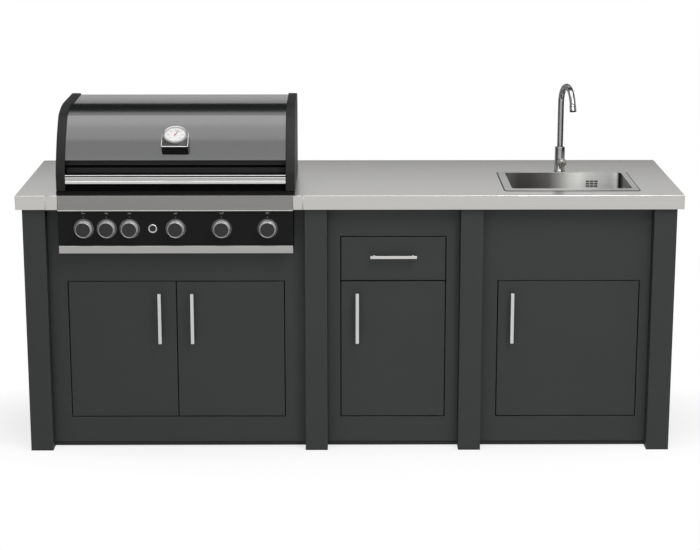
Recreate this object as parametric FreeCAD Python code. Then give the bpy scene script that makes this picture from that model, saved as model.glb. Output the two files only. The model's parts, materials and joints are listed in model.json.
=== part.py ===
import FreeCAD, Part
import math
import os

# Outdoor kitchen island: a row of three cabinets between eight square posts under one steel worktop.
# The left bay holds a built-in gas grill, the middle one a drawer over a door, the right one a sink.
# Millimetres. X runs to the right, Y to the back, Z up. The origin is on the floor, below the middle.

# Posts, bays and worktop
post_width = 80.0
post_depth = 80.0
post_wall = 3.0
drawer_bay = 470.0
sink_bay = 600.0
worktop_depth = 700.0
worktop_top = 940.0
worktop_sheet = 3.0
fascia_height = 50.0
overhang = 20.0
seam_inset = 5.0
foot_flange = 4.0
foot_plug = 20.0
foot_clearance = 0.2

# Folded sheet panels between the posts
panel_recess = 45.0
panel_thickness = 20.0
panel_sheet = 1.5
panel_bottom = 20.0
back_recess = 10.0
plinth_setback = 7.0
plinth_thickness = 12.0
plinth_floor_gap = 3.0
shelf_top = 108.0
rail_height = 40.0
rail_depth = 40.0
front_rail_depth = 15.0
rail_wall = 2.0
rail_room = 13.0

# Door and drawer openings in the front panels
opening_lift = 5.0
opening_drop = 321.0
drawer_opening_drop = 159.0
grill_stile_left = 65.0
grill_stile_right = 72.0
drawer_stile_left = 46.0
drawer_stile_right = 47.5
sink_stile_left = 56.0
sink_stile_right = 37.0
front_gap = 3.0
grill_panel_gap = 1.5
grill_panel_drop = 3.0

# Pivots and catches of the doors
pivot_from_edge = 12.0
pivot_from_face = 8.0
pivot_radius = 4.0
pivot_reach = 10.0
pivot_play = 0.05
pivot_lift = 0.1
tongue_thickness = 2.0
tongue_half_width = 7.0
bracket_width = 20.0
bracket_depth = 12.0
bracket_half_height = 20.0
boss_size = 26.0
catch_width = 22.0
catch_depth = 12.0
catch_height = 40.0
catch_lap = 10.0
catch_below_top = 60.0

# Bar handles
door_handle_length = 184.0
door_handle_drop = 37.0
door_handle_width = 12.0
drawer_handle_length = 165.0
drawer_handle_width = 10.0
drawer_handle_drop = 67.0
handle_depth = 10.0
handle_reach = 36.0
handle_post_radius = 4.5
handle_post_inset = 14.0
grill_left_handle = 59.0
grill_right_handle = 57.0
middle_handle = 60.0
sink_handle = 52.0

# Drawer
drawer_box_length = 450.0
drawer_box_lift = 16.0
drawer_box_room = 29.5
drawer_wall = 2.0
drawer_side_room = 20.0
runner_height = 24.0
runner_lap = 4.0
runner_lift = 45.0
rib_height = 10.0
rib_depth = 5.0
runner_play = 0.4

# Grill in its bay
grill_width = 823.0
grill_flank_left = 47.5
grill_flank_right = 39.5
cutout_rear_room = 5.0
trim_height = 54.0
trim_sheet = 2.0
control_height = 126.0
control_setback = 8.0
lower_trim_height = 27.0
lower_trim_setback = 4.0
lower_trim_depth = 24.0
firebox_setback = 60.0
firebox_side_room = 6.5
firebox_wall = 2.0
collar_height = 9.0
collar_lap = 6.0
collar_setback = 26.0
ledge_width = 10.0
ledge_thickness = 3.0
grate_ledge_drop = 24.0
plate_ledge_drop = 90.0

# Cooking parts
grate_count = 3
grate_gap = 2.0
grate_bar = 7.0
grate_bar_inset = 1.0
grate_pitch = 19.0
grate_height = 14.0
grate_edge = 10.0
burner_radius = 14.0
burner_wall = 1.5
burner_lift = 53.0
burner_pitch = 161.0
burner_count = 5
burner_nose = 1.0
burner_bore_play = 0.3
rear_burner_height = 36.0
rear_burner_depth = 18.0
rear_burner_width = 420.0
plate_width = 74.0
plate_rise = 26.0
plate_sheet = 2.0
tray_depth = 22.0
tray_side_room = 20.0
rack_rod = 3.0
rack_height = 78.0
rack_depth = 110.0
rack_behind_pivot = 40.0
rack_eye_radius = 5.0
rack_leg_edge = 1.0
rack_rod_count = 15

# Gas valves, knobs and igniter button
knob_drop = 64.0
knob_length = 30.0
knob_base_radius = 30.0
knob_face_radius = 26.0
knob_rim = 2.0
knob_face_sink = 1.0
knob_gap = 0.5
bezel_radius = 34.0
bezel_thickness = 4.0
bezel_chamfer = 1.5
stem_radius = 4.0
stem_play = 0.05
stem_hole_play = 1.0
stem_end_room = 10.0
valve_radius = 11.0
manifold_radius = 10.0
manifold_room = 6.0
manifold_end = 58.0
inlet_radius = 8.0
inlet_room = 3.0
inlet_thread_radius = 10.5
inlet_thread_length = 24.0
igniter_ring_radius = 16.0
igniter_radius = 9.0
igniter_play = 0.1
igniter_travel = 3.0
igniter_sleeve = 2.0
igniter_sleeve_length = 12.0
igniter_tail = 8.0

# Hood
hood_setback = 30.0
hood_depth = 540.0
hood_gap = 0.5
hood_nose = 56.0
hood_lower_bulge = (45.5, 163.8)
hood_crease = (120.0, 254.0)
hood_upper_bulge = (189.1, 271.2)
hood_flat_start = 260.0
hood_height = 277.0
hood_rear_radius = 60.0
cap_width = 32.0
cap_wall = 4.0
cap_band = 8.0
hood_sheet = 2.0
hood_sink = 5.0
hood_recess = 46.0
hood_recess_height = 107.0
pivot_axis_inset = 50.0
pivot_axis_height = 50.0
hood_pin_radius = 5.0
hood_pin_play = 0.05
hood_pin_inset = 1.0
hood_sweep_room = 2.0
ear_radius = 12.0
ear_thickness = 6.0
ear_inset = 13.0
rear_slot = 16.0
baffle_height = 41.0
baffle_sheet = 2.0
hood_handle_height = 34.0
hood_handle_depth = 18.0
hood_handle_lift = 24.0
hood_handle_front = 2.0
hood_handle_wall = 2.0

# Thermometer on the hood
gauge_margin = 3.0
gauge_front = (-7.0, 159.0)
gauge_back = (89.0, 217.0)
gauge_foot = (32.0, 124.0)
gauge_corner = 6.0
dial_from_front = 58.0
case_radius = 44.0
case_wall = 4.0
case_floor = 5.0
dial_thickness = 1.0
needle_thickness = 1.0
needle_length = 24.0
needle_tail = 9.0
needle_width = 4.0
needle_lift = 0.6
needle_angle = 25.0
spindle_radius = 2.0
spindle_play = 0.05
lens_thickness = 2.0
lens_room = 1.4
lens_sink = 1.0

# Sink
sink_left = 79.0
rim_setback = 81.0
rim_thickness = 1.5
rim_left_margin = 27.0
rim_right_margin = 20.0
rim_front_margin = 40.0
rim_back_margin = 12.0
bowl_width = 429.0
bowl_length = 308.0
bowl_depth = 180.0
bowl_wall = 2.0
bowl_corner = 14.0
bowl_floor_radius = 10.0
rim_corner = 12.0
rim_lap = 7.0
bowl_cutout_corner = 10.0
cutout_play = 1.5
overflow_offset = 323.0
overflow_drop = 41.0
overflow_slot = (9.0, 3.5)
overflow_pitch = (14.0, 8.0)
overflow_grid = (3, 3)
drain_radius = 30.0
drain_flange_radius = 42.0
drain_flange = 2.0
drain_play = 0.3
drain_dish = 6.0
drain_nut_radius = 40.0
drain_nut_height = 12.0
tail_radius = 19.0
trap_drop = 60.0
trap_radius = 32.0
trap_height = 110.0
pipe_wall = 2.0
outlet_drop = 30.0
outlet_length = 24.0
outlet_sleeve = 1.0
outlet_play = 3.0
outlet_side = 60.0

# Faucet
faucet_from_rim_left = 233.0
faucet_behind_rim = 22.0
faucet_ring_radius = 20.5
faucet_ring_height = 4.0
faucet_body_radius = 18.5
faucet_body_height = 92.0
faucet_shank_radius = 16.0
faucet_shank_length = 45.0
faucet_nut_radius = 26.0
faucet_nut_height = 8.0
water_inlet_radius = 5.0
water_inlet_depth = 15.0
water_inlet_spacing = 15.0
hose_hole_radius = 22.0
spout_radius = 11.0
spout_wall = 1.5
spout_seat = 24.0
spout_play = 0.05
spout_rise = 164.0
spout_bend = 70.0
spout_turn = 165.0
spout_end = 8.0
spout_swing = 11.0
aerator_radius = 12.0
aerator_length = 23.0
aerator_bore = 8.0
hub_height = 40.0
hub_angle = 5.0
hub_boss_radius = 14.0
hub_boss_end = 20.0
hub_bore = 8.0
hub_bore_start = 8.0
hub_play = 0.05
hub_stem_room = 1.0
collar_length = 9.0
ball_radius = 17.0
ball_seat = 5.0
lever_radius = 4.0
lever_length = 28.0
lever_pitch = 12.0

# Cutters run this far past a face that they open, and places this close count as one
past = 1.0
same_place = 0.001

# Places worked out from the sizes above
knob_reach = knob_length - control_setback
grill_bay = grill_flank_left + grill_width + grill_flank_right
front = (knob_reach - worktop_depth) / 2
back = front + worktop_depth
frame_width = 4 * post_width + grill_bay + drawer_bay + sink_bay
worktop_width = frame_width + 2 * overhang
left_end = -worktop_width / 2
right_end = worktop_width / 2
bay_widths = (grill_bay, drawer_bay, sink_bay)
post_lefts = [left_end + overhang]
for bay_width in bay_widths:
    post_lefts.append(post_lefts[-1] + post_width + bay_width)
bay_lefts = [left + post_width for left in post_lefts[:3]]
bay_rights = post_lefts[1:]
underside = worktop_top - worktop_sheet
fascia_bottom = worktop_top - fascia_height
post_front = front + overhang
front_posts_back = post_front + post_depth
post_back = back - overhang
rear_posts_front = post_back - post_depth
panel_front = post_front + panel_recess
panel_back = panel_front + panel_thickness
back_panel_back = post_back - back_recess
back_panel_front = back_panel_back - panel_thickness
seam_left = bay_lefts[0] + seam_inset
seam_right = bay_rights[0] - seam_inset

# Openings in the three front panels, from left to right
opening_bottom = shelf_top + opening_lift
opening_top = worktop_top - opening_drop
drawer_opening_top = worktop_top - drawer_opening_drop
openings = (
    (bay_lefts[0] + grill_stile_left, bay_rights[0] - grill_stile_right, opening_top),
    (bay_lefts[1] + drawer_stile_left, bay_rights[1] - drawer_stile_right, drawer_opening_top),
    (bay_lefts[2] + sink_stile_left, bay_rights[2] - sink_stile_right, opening_top),
)
door_bottom = opening_bottom + front_gap
door_top = opening_top - front_gap
grill_middle = (openings[0][0] + openings[0][1]) / 2

# Doors: left edge, right edge and the side of the pivots, -1 for left and 1 for right
doors = {
    "door_grill_left": (openings[0][0] + front_gap, grill_middle - front_gap / 2, -1),
    "door_grill_right": (grill_middle + front_gap / 2, openings[0][1] - front_gap, 1),
    "door_middle": (openings[1][0] + front_gap, openings[1][1] - front_gap, 1),
    "door_sink": (openings[2][0] + front_gap, openings[2][1] - front_gap, 1),
}
door_handle_low = door_top - door_handle_drop - door_handle_length
door_handles = {
    "handle_grill_left": grill_middle - grill_left_handle,
    "handle_grill_right": grill_middle + grill_right_handle,
    "handle_middle": openings[1][0] + middle_handle,
    "handle_sink": openings[2][0] + sink_handle,
}

# Grill places
grill_left = bay_lefts[0] + grill_flank_left
grill_right = grill_left + grill_width
grill_x = (grill_left + grill_right) / 2
trim_bottom = worktop_top - trim_height
control_front = front + control_setback
control_bottom = trim_bottom - control_height
knob_height = trim_bottom - knob_drop
cutout_depth = hood_setback + hood_depth + cutout_rear_room
grill_panel_top = control_bottom - lower_trim_height - grill_panel_drop
firebox_front = front + firebox_setback
firebox_back = front + cutout_depth - firebox_side_room
firebox_left = grill_left + firebox_side_room
firebox_right = grill_right - firebox_side_room
collar_top = worktop_top + collar_height
collar_back = front + cutout_depth + collar_lap
inlet_run_height = grill_panel_top + inlet_room + inlet_radius
firebox_bottom = inlet_run_height + inlet_radius + inlet_room
manifold_y = firebox_front - manifold_room - manifold_radius
hood_front = front + hood_setback
hood_bottom = collar_top + hood_gap
hood_left = grill_left - collar_lap
hood_right = grill_right + collar_lap
hood_axis_y = hood_front + hood_depth - pivot_axis_inset
hood_axis_z = hood_bottom + pivot_axis_height
gauge_width = 2 * (case_radius + gauge_margin)
case_room = needle_lift + needle_thickness + lens_room
case_height = case_floor + dial_thickness + case_room + lens_thickness + lens_sink

# Burners at an even pitch, with a knob in front of each. The rear burner's knob is between the first
# two, the igniter between the next two, and the gas inlet between the last two.
burner_height = firebox_bottom + burner_lift
burner_offsets = [(index - (burner_count - 1) / 2) * burner_pitch for index in range(burner_count)]
rear_knob_offset = burner_offsets[0] + burner_pitch / 2
igniter_offset = burner_offsets[1] + burner_pitch / 2
inlet_offset = burner_offsets[-1] - burner_pitch / 2
knob_offsets = sorted(burner_offsets + [rear_knob_offset])
manifold_half_length = burner_offsets[-1] + manifold_end

# Sink and faucet places
rim_left = bay_lefts[2] + sink_left
rim_front = front + rim_setback
bowl_x0 = rim_left + rim_left_margin
bowl_x1 = bowl_x0 + bowl_width
bowl_y0 = rim_front + rim_front_margin
bowl_y1 = bowl_y0 + bowl_length
rim_right = bowl_x1 + rim_right_margin
rim_back = bowl_y1 + rim_back_margin
bowl_bottom = worktop_top - bowl_depth
drain_x = (bowl_x0 + bowl_x1) / 2
drain_y = (bowl_y0 + bowl_y1) / 2
faucet_x = rim_left + faucet_from_rim_left
faucet_y = rim_back + faucet_behind_rim
spout_bottom = worktop_top + faucet_body_height - spout_seat
spout_direction = (math.sin(math.radians(spout_swing)), -math.cos(math.radians(spout_swing)), 0.0)
hub_direction = (math.sin(math.radians(hub_angle)), -math.cos(math.radians(hub_angle)), 0.0)
hub_z = worktop_top + hub_height
collar_end = hub_boss_end + collar_length
ball_distance = collar_end + ball_radius - ball_seat


def block(low, high):
    """Box between its lowest and its highest corner."""
    size = [b - a for a, b in zip(low, high)]
    return Part.makeBox(size[0], size[1], size[2], FreeCAD.Vector(*low))


def rod(start, along, radius, length):
    """Round bar from a start point."""
    return Part.makeCylinder(radius, length, FreeCAD.Vector(*start), FreeCAD.Vector(*along))


def tube(start, along, radius, bore, length):
    """Round bar with a bore right through."""
    return rod(start, along, radius, length).cut(rod(start, along, bore, length))


def moved(start, along, distance):
    """Point at a distance along a direction."""
    return tuple(s + a * distance for s, a in zip(start, along))


def tray(low, high, open_to, wall):
    """Sheet folded into a box that is open to one side, such as "+y"."""
    axis = "xyz".index(open_to[1])
    inner_low = [value + wall for value in low]
    inner_high = [value - wall for value in high]
    if open_to[0] == "+":
        inner_high[axis] = high[axis] + past
    else:
        inner_low[axis] = low[axis] - past
    return block(low, high).cut(block(inner_low, inner_high))


def closed_box(low, high, wall):
    """Sheet folded into a box that is closed all round."""
    inner_low = [value + wall for value in low]
    inner_high = [value - wall for value in high]
    return block(low, high).cut(block(inner_low, inner_high))


def fused(shapes):
    """One solid from pieces that meet."""
    shape = shapes[0]
    if len(shapes) > 1:
        shape = shape.multiFuse(shapes[1:])
    return shape.removeSplitter()


def post_group(y0):
    """Four square tubes in one row across the island."""
    posts = []
    for left in post_lefts:
        outer = block((left, y0, foot_flange), (left + post_width, y0 + post_depth, underside))
        inner = block(
            (left + post_wall, y0 + post_wall, foot_flange - past),
            (left + post_width - post_wall, y0 + post_depth - post_wall, underside + past),
        )
        posts.append(outer.cut(inner))
    return posts


def post_feet():
    """Plastic plugs that close the posts and stand on the floor."""
    feet = []
    inset = post_wall + foot_clearance
    for left in post_lefts:
        for y0 in (post_front, rear_posts_front):
            flange = block((left, y0, 0.0), (left + post_width, y0 + post_depth, foot_flange))
            plug = block(
                (left + inset, y0 + inset, foot_flange),
                (left + post_width - inset, y0 + post_depth - inset, foot_flange + foot_plug),
            )
            feet.append(fused([flange, plug]))
    return feet


def cabinet_sides():
    """Two end panels and two inner partitions, from the front posts to the rear posts."""
    left = post_lefts[0] + panel_recess
    right = post_lefts[3] + post_width - panel_recess - panel_thickness
    inner = [post_lefts[i] + (post_width - panel_thickness) / 2 for i in (1, 2)]
    sides = []
    for x0, open_to in ((left, "+x"), (inner[0], "+x"), (inner[1], "-x"), (right, "-x")):
        low = (x0, front_posts_back, panel_bottom)
        high = (x0 + panel_thickness, rear_posts_front, underside)
        sides.append(tray(low, high, open_to, panel_sheet))
    return sides


def back_panels():
    """One folded panel per bay between the rear posts, with holes for the gas and the waste pipe."""
    panels = []
    for x0, x1 in zip(bay_lefts, bay_rights):
        low = (x0, back_panel_front, panel_bottom)
        high = (x1, back_panel_back, underside)
        panels.append(tray(low, high, "-y", panel_sheet))
    pipes = (
        (0, grill_x + inlet_offset, inlet_run_height, inlet_radius),
        (2, outlet_x, outlet_z, tail_radius),
    )
    for bay, x, z, radius in pipes:
        start = (x, back_panel_front - past, z)
        hole = rod(start, (0, 1, 0), radius + outlet_play, panel_thickness + 2 * past)
        panels[bay] = panels[bay].cut(hole)
    return panels


def side_faces():
    """Inner side faces of the three cupboards."""
    half = panel_thickness / 2
    inner = [post_lefts[i] + post_width / 2 for i in (1, 2)]
    first = post_lefts[0] + panel_recess + panel_thickness
    last = post_lefts[3] + post_width - panel_recess - panel_thickness
    return ((first, inner[0] - half), (inner[0] + half, inner[1] - half), (inner[1] + half, last))


def floor_panels():
    """Cupboard floors, folded down at their edges, the sink's with a hole for its water hoses."""
    floors = []
    for x0, x1 in side_faces():
        low = (x0, front_posts_back, shelf_top - panel_thickness)
        high = (x1, back_panel_front, shelf_top)
        floor = tray(low, high, "-z", panel_sheet)
        for left in post_lefts:
            corner = block(
                (left, rear_posts_front, shelf_top - panel_thickness - past),
                (left + post_width, post_back, shelf_top + past),
            )
            floor = floor.cut(corner)
        floors.append(floor)
    hole_start = (faucet_x, faucet_y, shelf_top - panel_thickness - past)
    hole = rod(hole_start, (0, 0, 1), hose_hole_radius, panel_thickness + 2 * past)
    floors[2] = floors[2].cut(hole)
    return floors


def plinths():
    """Dark kick boards under the front panels."""
    y0 = panel_front + plinth_setback
    boards = []
    for x0, x1 in zip(bay_lefts, bay_rights):
        boards.append(block((x0, y0, plinth_floor_gap), (x1, y0 + plinth_thickness, panel_bottom)))
    return boards


def with_opening(panel, x0, x1, z0, z1):
    """Cut an opening in a folded front panel and fold a return round it."""
    around = block(
        (x0 - panel_sheet, panel_front, z0 - panel_sheet),
        (x1 + panel_sheet, panel_back, min(z1 + panel_sheet, underside)),
    )
    through = block((x0, panel_front - past, z0), (x1, panel_back + past, z1))
    return fused([panel, around]).cut(through)


def front_panel(bay):
    """Folded front of one bay, with returns round its edge and round its opening."""
    low = (bay_lefts[bay], panel_front, panel_bottom)
    high = (bay_rights[bay], panel_back, underside)
    x0, x1, z1 = openings[bay]
    return with_opening(tray(low, high, "+y", panel_sheet), x0, x1, opening_bottom, z1)


def front_panel_grill():
    """Front of the grill bay, which also frames the control panel from below and from both sides."""
    x0 = grill_left - grill_panel_gap
    x1 = grill_right + grill_panel_gap
    return with_opening(front_panel(0), x0, x1, grill_panel_top, underside + past)


def rails():
    """Hollow rails under the worktop: three at the back, two at the front, two beside the grill."""
    corners = []
    for x0, x1 in zip(bay_lefts, bay_rights):
        corners.append((x0, back_panel_front - rail_depth, x1, back_panel_front))
    for x0, x1 in list(zip(bay_lefts, bay_rights))[1:]:
        corners.append((x0, panel_back, x1, panel_back + front_rail_depth))
    side_left, side_right = side_faces()[0]
    for x0, x1 in ((side_left, firebox_left - rail_room), (firebox_right + rail_room, side_right)):
        corners.append((x0, front_posts_back, x1, rear_posts_front))
    low = underside - rail_height
    return [closed_box((x0, y0, low), (x1, y1, underside), rail_wall) for x0, y0, x1, y1 in corners]


def worktop_tray(x0, x1, left_edge, right_edge):
    """Steel sheet with its front, back and free ends folded down."""
    parts = [
        block((x0, front, underside), (x1, back, worktop_top)),
        block((x0, front, fascia_bottom), (x1, front + worktop_sheet, worktop_top)),
        block((x0, back - worktop_sheet, fascia_bottom), (x1, back, worktop_top)),
    ]
    if left_edge:
        parts.append(block((x0, front, fascia_bottom), (x0 + worktop_sheet, back, worktop_top)))
    if right_edge:
        parts.append(block((x1 - worktop_sheet, front, fascia_bottom), (x1, back, worktop_top)))
    return fused(parts)


def worktop_grill():
    """Middle length of worktop, cut out from the front for the grill."""
    cutout = block(
        (grill_left, front - past, fascia_bottom - past),
        (grill_right, front + cutout_depth, worktop_top + past),
    )
    return worktop_tray(seam_left, seam_right, False, False).cut(cutout)


def rounded_block(low, high, radius):
    """Box with its four upright edges rounded."""
    shape = block(low, high)
    edges = [e for e in shape.Edges if e.BoundBox.ZLength > same_place]
    return shape.makeFillet(radius, edges)


def worktop_sink():
    """Right length of worktop, cut out for the sink and drilled for the faucet."""
    bowl_hole = rounded_block(
        (rim_left + rim_lap, rim_front + rim_lap, fascia_bottom),
        (rim_right - rim_lap, rim_back - rim_lap, worktop_top + past),
        bowl_cutout_corner,
    )
    faucet_hole = rod(
        (faucet_x, faucet_y, fascia_bottom),
        (0, 0, 1),
        faucet_shank_radius + cutout_play,
        fascia_height + past,
    )
    return worktop_tray(seam_right, right_end, False, True).cut(bowl_hole).cut(faucet_hole)


def pivot_x(door):
    """X of the upright line that a door turns about."""
    x0, x1, side = doors[door]
    if side < 0:
        return x0 + pivot_from_edge
    return x1 - pivot_from_edge


def door_leaf(door):
    """Hollow folded door with a bored boss at each pivot."""
    x0, x1, side = doors[door]
    low = (x0, panel_front, door_bottom)
    high = (x1, panel_back, door_top)
    near = x0 if side < 0 else x1 - boss_size
    leaf = closed_box(low, high, panel_sheet)
    for z0 in (door_bottom, door_top - boss_size):
        boss = block((near, panel_front, z0), (near + boss_size, panel_back, z0 + boss_size))
        leaf = leaf.fuse(boss)
    radius = pivot_radius + pivot_play
    depth = pivot_reach + past
    for z0 in (door_bottom, door_top - depth):
        hole = rod((pivot_x(door), panel_front + pivot_from_face, z0), (0, 0, 1), radius, depth)
        leaf = leaf.cut(hole)
    return leaf.removeSplitter()


def pivot_bracket(door, upper):
    """Tongue in the gap over or under a door, with its pin and the bracket that holds it."""
    x0, x1, side = doors[door]
    x = pivot_x(door)
    edge = x0 - front_gap if side < 0 else x1 + front_gap
    y = panel_front + pivot_from_face
    if upper:
        z0 = door_top + (front_gap - tongue_thickness) / 2
        pin_from = door_top - pivot_reach
        pin_length = z0 - pin_from
    else:
        z0 = door_bottom - pivot_lift - tongue_thickness
        pin_from = z0 + tongue_thickness
        pin_length = pivot_reach + pivot_lift
    inner = x + tongue_half_width if side < 0 else x - tongue_half_width
    outer = edge - bracket_width if side < 0 else edge + bracket_width
    bracket_end = panel_back + bracket_depth
    tongue_near = edge if side < 0 else inner
    tongue_far = inner if side < 0 else edge
    tongue = block(
        (tongue_near, y - tongue_half_width, z0),
        (tongue_far, panel_back, z0 + tongue_thickness),
    )
    tail = block(
        (min(inner, outer), panel_back, z0),
        (max(inner, outer), bracket_end, z0 + tongue_thickness),
    )
    plate = block(
        (min(edge, outer), panel_back, z0 - bracket_half_height),
        (max(edge, outer), bracket_end, z0 + bracket_half_height),
    )
    pin = rod((x, y, pin_from), (0, 0, 1), pivot_radius, pin_length)
    return fused([tongue, tail, plate, pin])


def door_pivots():
    """Two pivots for each of the four doors."""
    return [pivot_bracket(door, upper) for door in doors for upper in (False, True)]


def door_catches():
    """Magnetic catches behind the free edges of the doors."""
    y1 = panel_back + catch_depth
    catches = [
        block(
            (grill_middle - catch_height / 2, panel_back, opening_top - catch_lap),
            (grill_middle + catch_height / 2, y1, opening_top - catch_lap + catch_width),
        )
    ]
    for x0 in (openings[1][0], openings[2][0]):
        z1 = opening_top - catch_below_top
        low = (x0 + catch_lap - catch_width, panel_back, z1 - catch_height)
        catches.append(block(low, (x0 + catch_lap, y1, z1)))
    return catches


def bar_handle(low, high, upright):
    """Square bar on two round posts that stand on the panel face."""
    bar_front = panel_front - handle_reach
    bar_back = bar_front + handle_depth
    solids = [block((low[0], bar_front, low[1]), (high[0], bar_back, high[1]))]
    if upright:
        x = (low[0] + high[0]) / 2
        places = [(x, low[1] + handle_post_inset), (x, high[1] - handle_post_inset)]
    else:
        z = (low[1] + high[1]) / 2
        places = [(low[0] + handle_post_inset, z), (high[0] - handle_post_inset, z)]
    for x, z in places:
        solids.append(rod((x, bar_back, z), (0, 1, 0), handle_post_radius, panel_front - bar_back))
    return solids


def door_handle(name):
    """Upright bar handle of a door."""
    x = door_handles[name]
    half = door_handle_width / 2
    low = (x - half, door_handle_low)
    high = (x + half, door_handle_low + door_handle_length)
    return bar_handle(low, high, True)


drawer_x0 = openings[1][0] + front_gap
drawer_x1 = openings[1][1] - front_gap
drawer_z0 = opening_top + front_gap / 2
drawer_z1 = drawer_opening_top - front_gap
drawer_x = (drawer_x0 + drawer_x1) / 2
drawer_box_x0 = openings[1][0] + drawer_side_room
drawer_box_x1 = openings[1][1] - drawer_side_room
drawer_box_z0 = drawer_z0 + drawer_box_lift
drawer_box_z1 = drawer_opening_top - drawer_box_room
drawer_handle_height = drawer_z1 - drawer_handle_drop
runner_z0 = drawer_box_z0 + runner_lift


def drawer_front():
    """Hollow folded drawer front."""
    low = (drawer_x0, panel_front, drawer_z0)
    return closed_box(low, (drawer_x1, panel_back, drawer_z1), panel_sheet)


def drawer_handle():
    """Level bar handle in the middle of the drawer front."""
    half_length = drawer_handle_length / 2
    half = drawer_handle_width / 2
    low = (drawer_x - half_length, drawer_handle_height - half)
    high = (drawer_x + half_length, drawer_handle_height + half)
    return bar_handle(low, high, False)


def drawer_box():
    """Open steel box with a rib on each side that runs in its runner."""
    low = (drawer_box_x0, panel_back, drawer_box_z0)
    high = (drawer_box_x1, panel_back + drawer_box_length, drawer_box_z1)
    shape = tray(low, high, "+z", drawer_wall)
    z0 = runner_z0 + (runner_height - rib_height) / 2
    y1 = panel_back + drawer_box_length
    for x0 in (drawer_box_x0 - rib_depth, drawer_box_x1):
        shape = shape.fuse(block((x0, panel_back, z0), (x0 + rib_depth, y1, z0 + rib_height)))
    return shape.removeSplitter()


def drawer_runners():
    """Two grooved runners from the front panel's return to the back panel's sheet."""
    z1 = runner_z0 + runner_height
    groove_low = runner_z0 + (runner_height - rib_height) / 2 - runner_play
    groove_high = groove_low + rib_height + 2 * runner_play
    groove_end = panel_back + drawer_box_length + runner_play
    solids = []
    edges = (openings[1][0], openings[1][1])
    for side, face, edge in zip((-1, 1), (drawer_box_x0, drawer_box_x1), edges):
        near = face + side * runner_play
        far = edge + side * runner_lap
        groove = face + side * (rib_depth + runner_play)
        end = back_panel_back - panel_sheet
        bar = block((min(near, far), panel_back, runner_z0), (max(near, far), end, z1))
        slot = block(
            (min(near - side * past, groove), panel_back - past, groove_low),
            (max(near - side * past, groove), groove_end, groove_high),
        )
        solids.append(bar.cut(slot))
    return solids


def grill_trims():
    """Brushed steel strips over and under the control panel."""
    upper = fused([
        block((grill_left, front, trim_bottom), (grill_right, front + trim_sheet, worktop_top)),
        block(
            (grill_left, front, worktop_top - trim_sheet),
            (grill_right, firebox_front, worktop_top),
        ),
        block(
            (grill_left, front, trim_bottom),
            (grill_right, firebox_front, trim_bottom + trim_sheet),
        ),
    ])
    low = (grill_left, front + lower_trim_setback, control_bottom - lower_trim_height)
    high = (grill_right, front + lower_trim_setback + lower_trim_depth, control_bottom)
    return [upper, closed_box(low, high, trim_sheet)]


def control_panel():
    """Black panel folded back to the firebox, drilled for the valves and the igniter."""
    low = (grill_left, control_front, control_bottom)
    high = (grill_right, firebox_front, trim_bottom)
    shape = tray(low, high, "+y", trim_sheet)
    through = trim_sheet + 2 * past
    y0 = control_front - past
    for offset in knob_offsets:
        hole = rod((grill_x + offset, y0, knob_height), (0, 1, 0), stem_radius + stem_hole_play, through)
        shape = shape.cut(hole)
    sleeve = igniter_radius + igniter_play + igniter_sleeve
    hole = rod((grill_x + igniter_offset, y0, knob_height), (0, 1, 0), sleeve, through)
    pipe_hole = rod(
        (grill_x + inlet_offset, manifold_y, control_bottom - past),
        (0, 0, 1),
        inlet_radius + stem_hole_play,
        through,
    )
    return shape.cut(hole).cut(pipe_hole)


def firebox():
    """Open steel box with its collar, and riveted to it four ledges, two hinge ears and a baffle."""
    low = (firebox_left, firebox_front, firebox_bottom)
    high = (firebox_right, firebox_back, worktop_top)
    shape = tray(low, high, "+z", firebox_wall)
    inner_y0 = firebox_front + firebox_wall
    inner_y1 = firebox_back - firebox_wall
    collar = block(
        (hood_left, front + collar_setback, worktop_top),
        (hood_right, collar_back, collar_top),
    )
    mouth = block(
        (firebox_left + firebox_wall, inner_y0, worktop_top - past),
        (firebox_right - firebox_wall, inner_y1, collar_top + past),
    )
    shape = fused([shape, collar.cut(mouth)])
    for offset in burner_offsets:
        hole = rod(
            (grill_x + offset, firebox_front - past, burner_height),
            (0, 1, 0),
            burner_radius + burner_bore_play,
            firebox_wall + 2 * past,
        )
        shape = shape.cut(hole)
    solids = [shape]
    for drop in (grate_ledge_drop, plate_ledge_drop):
        z1 = worktop_top - drop
        for y0, y1 in ((inner_y0, inner_y0 + ledge_width), (inner_y1 - ledge_width, inner_y1)):
            solids.append(block(
                (firebox_left + firebox_wall, y0, z1 - ledge_thickness),
                (firebox_right - firebox_wall, y1, z1),
            ))
    for x0 in (hood_left + ear_inset, hood_right - ear_inset - ear_thickness):
        stalk = block(
            (x0, hood_axis_y - ear_radius, collar_top),
            (x0 + ear_thickness, hood_axis_y + ear_radius, hood_axis_z),
        )
        top = rod((x0, hood_axis_y, hood_axis_z), (1, 0, 0), ear_radius, ear_thickness)
        bore = rod((x0, hood_axis_y, hood_axis_z), (1, 0, 0), hood_pin_radius, ear_thickness)
        solids.append(fused([stalk, top]).cut(bore))
    baffle_y = hood_axis_y + ear_radius
    solids.append(block(
        (hood_left + ear_inset, baffle_y, collar_top),
        (hood_right - ear_inset, baffle_y + baffle_sheet, collar_top + baffle_height),
    ))
    return solids


def burners():
    """Five burner tubes from front to back and one flat burner on the rear wall."""
    inner_y1 = firebox_back - firebox_wall
    y0 = firebox_front - burner_nose
    solids = []
    for offset in burner_offsets:
        start = (grill_x + offset, y0, burner_height)
        solids.append(tube(start, (0, 1, 0), burner_radius, burner_radius - burner_wall, inner_y1 - y0))
    z0 = worktop_top - plate_ledge_drop
    half = rear_burner_width / 2
    rear = block(
        (grill_x - half, inner_y1 - rear_burner_depth, z0),
        (grill_x + half, inner_y1, z0 + rear_burner_height),
    )
    return solids + [rear]


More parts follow.
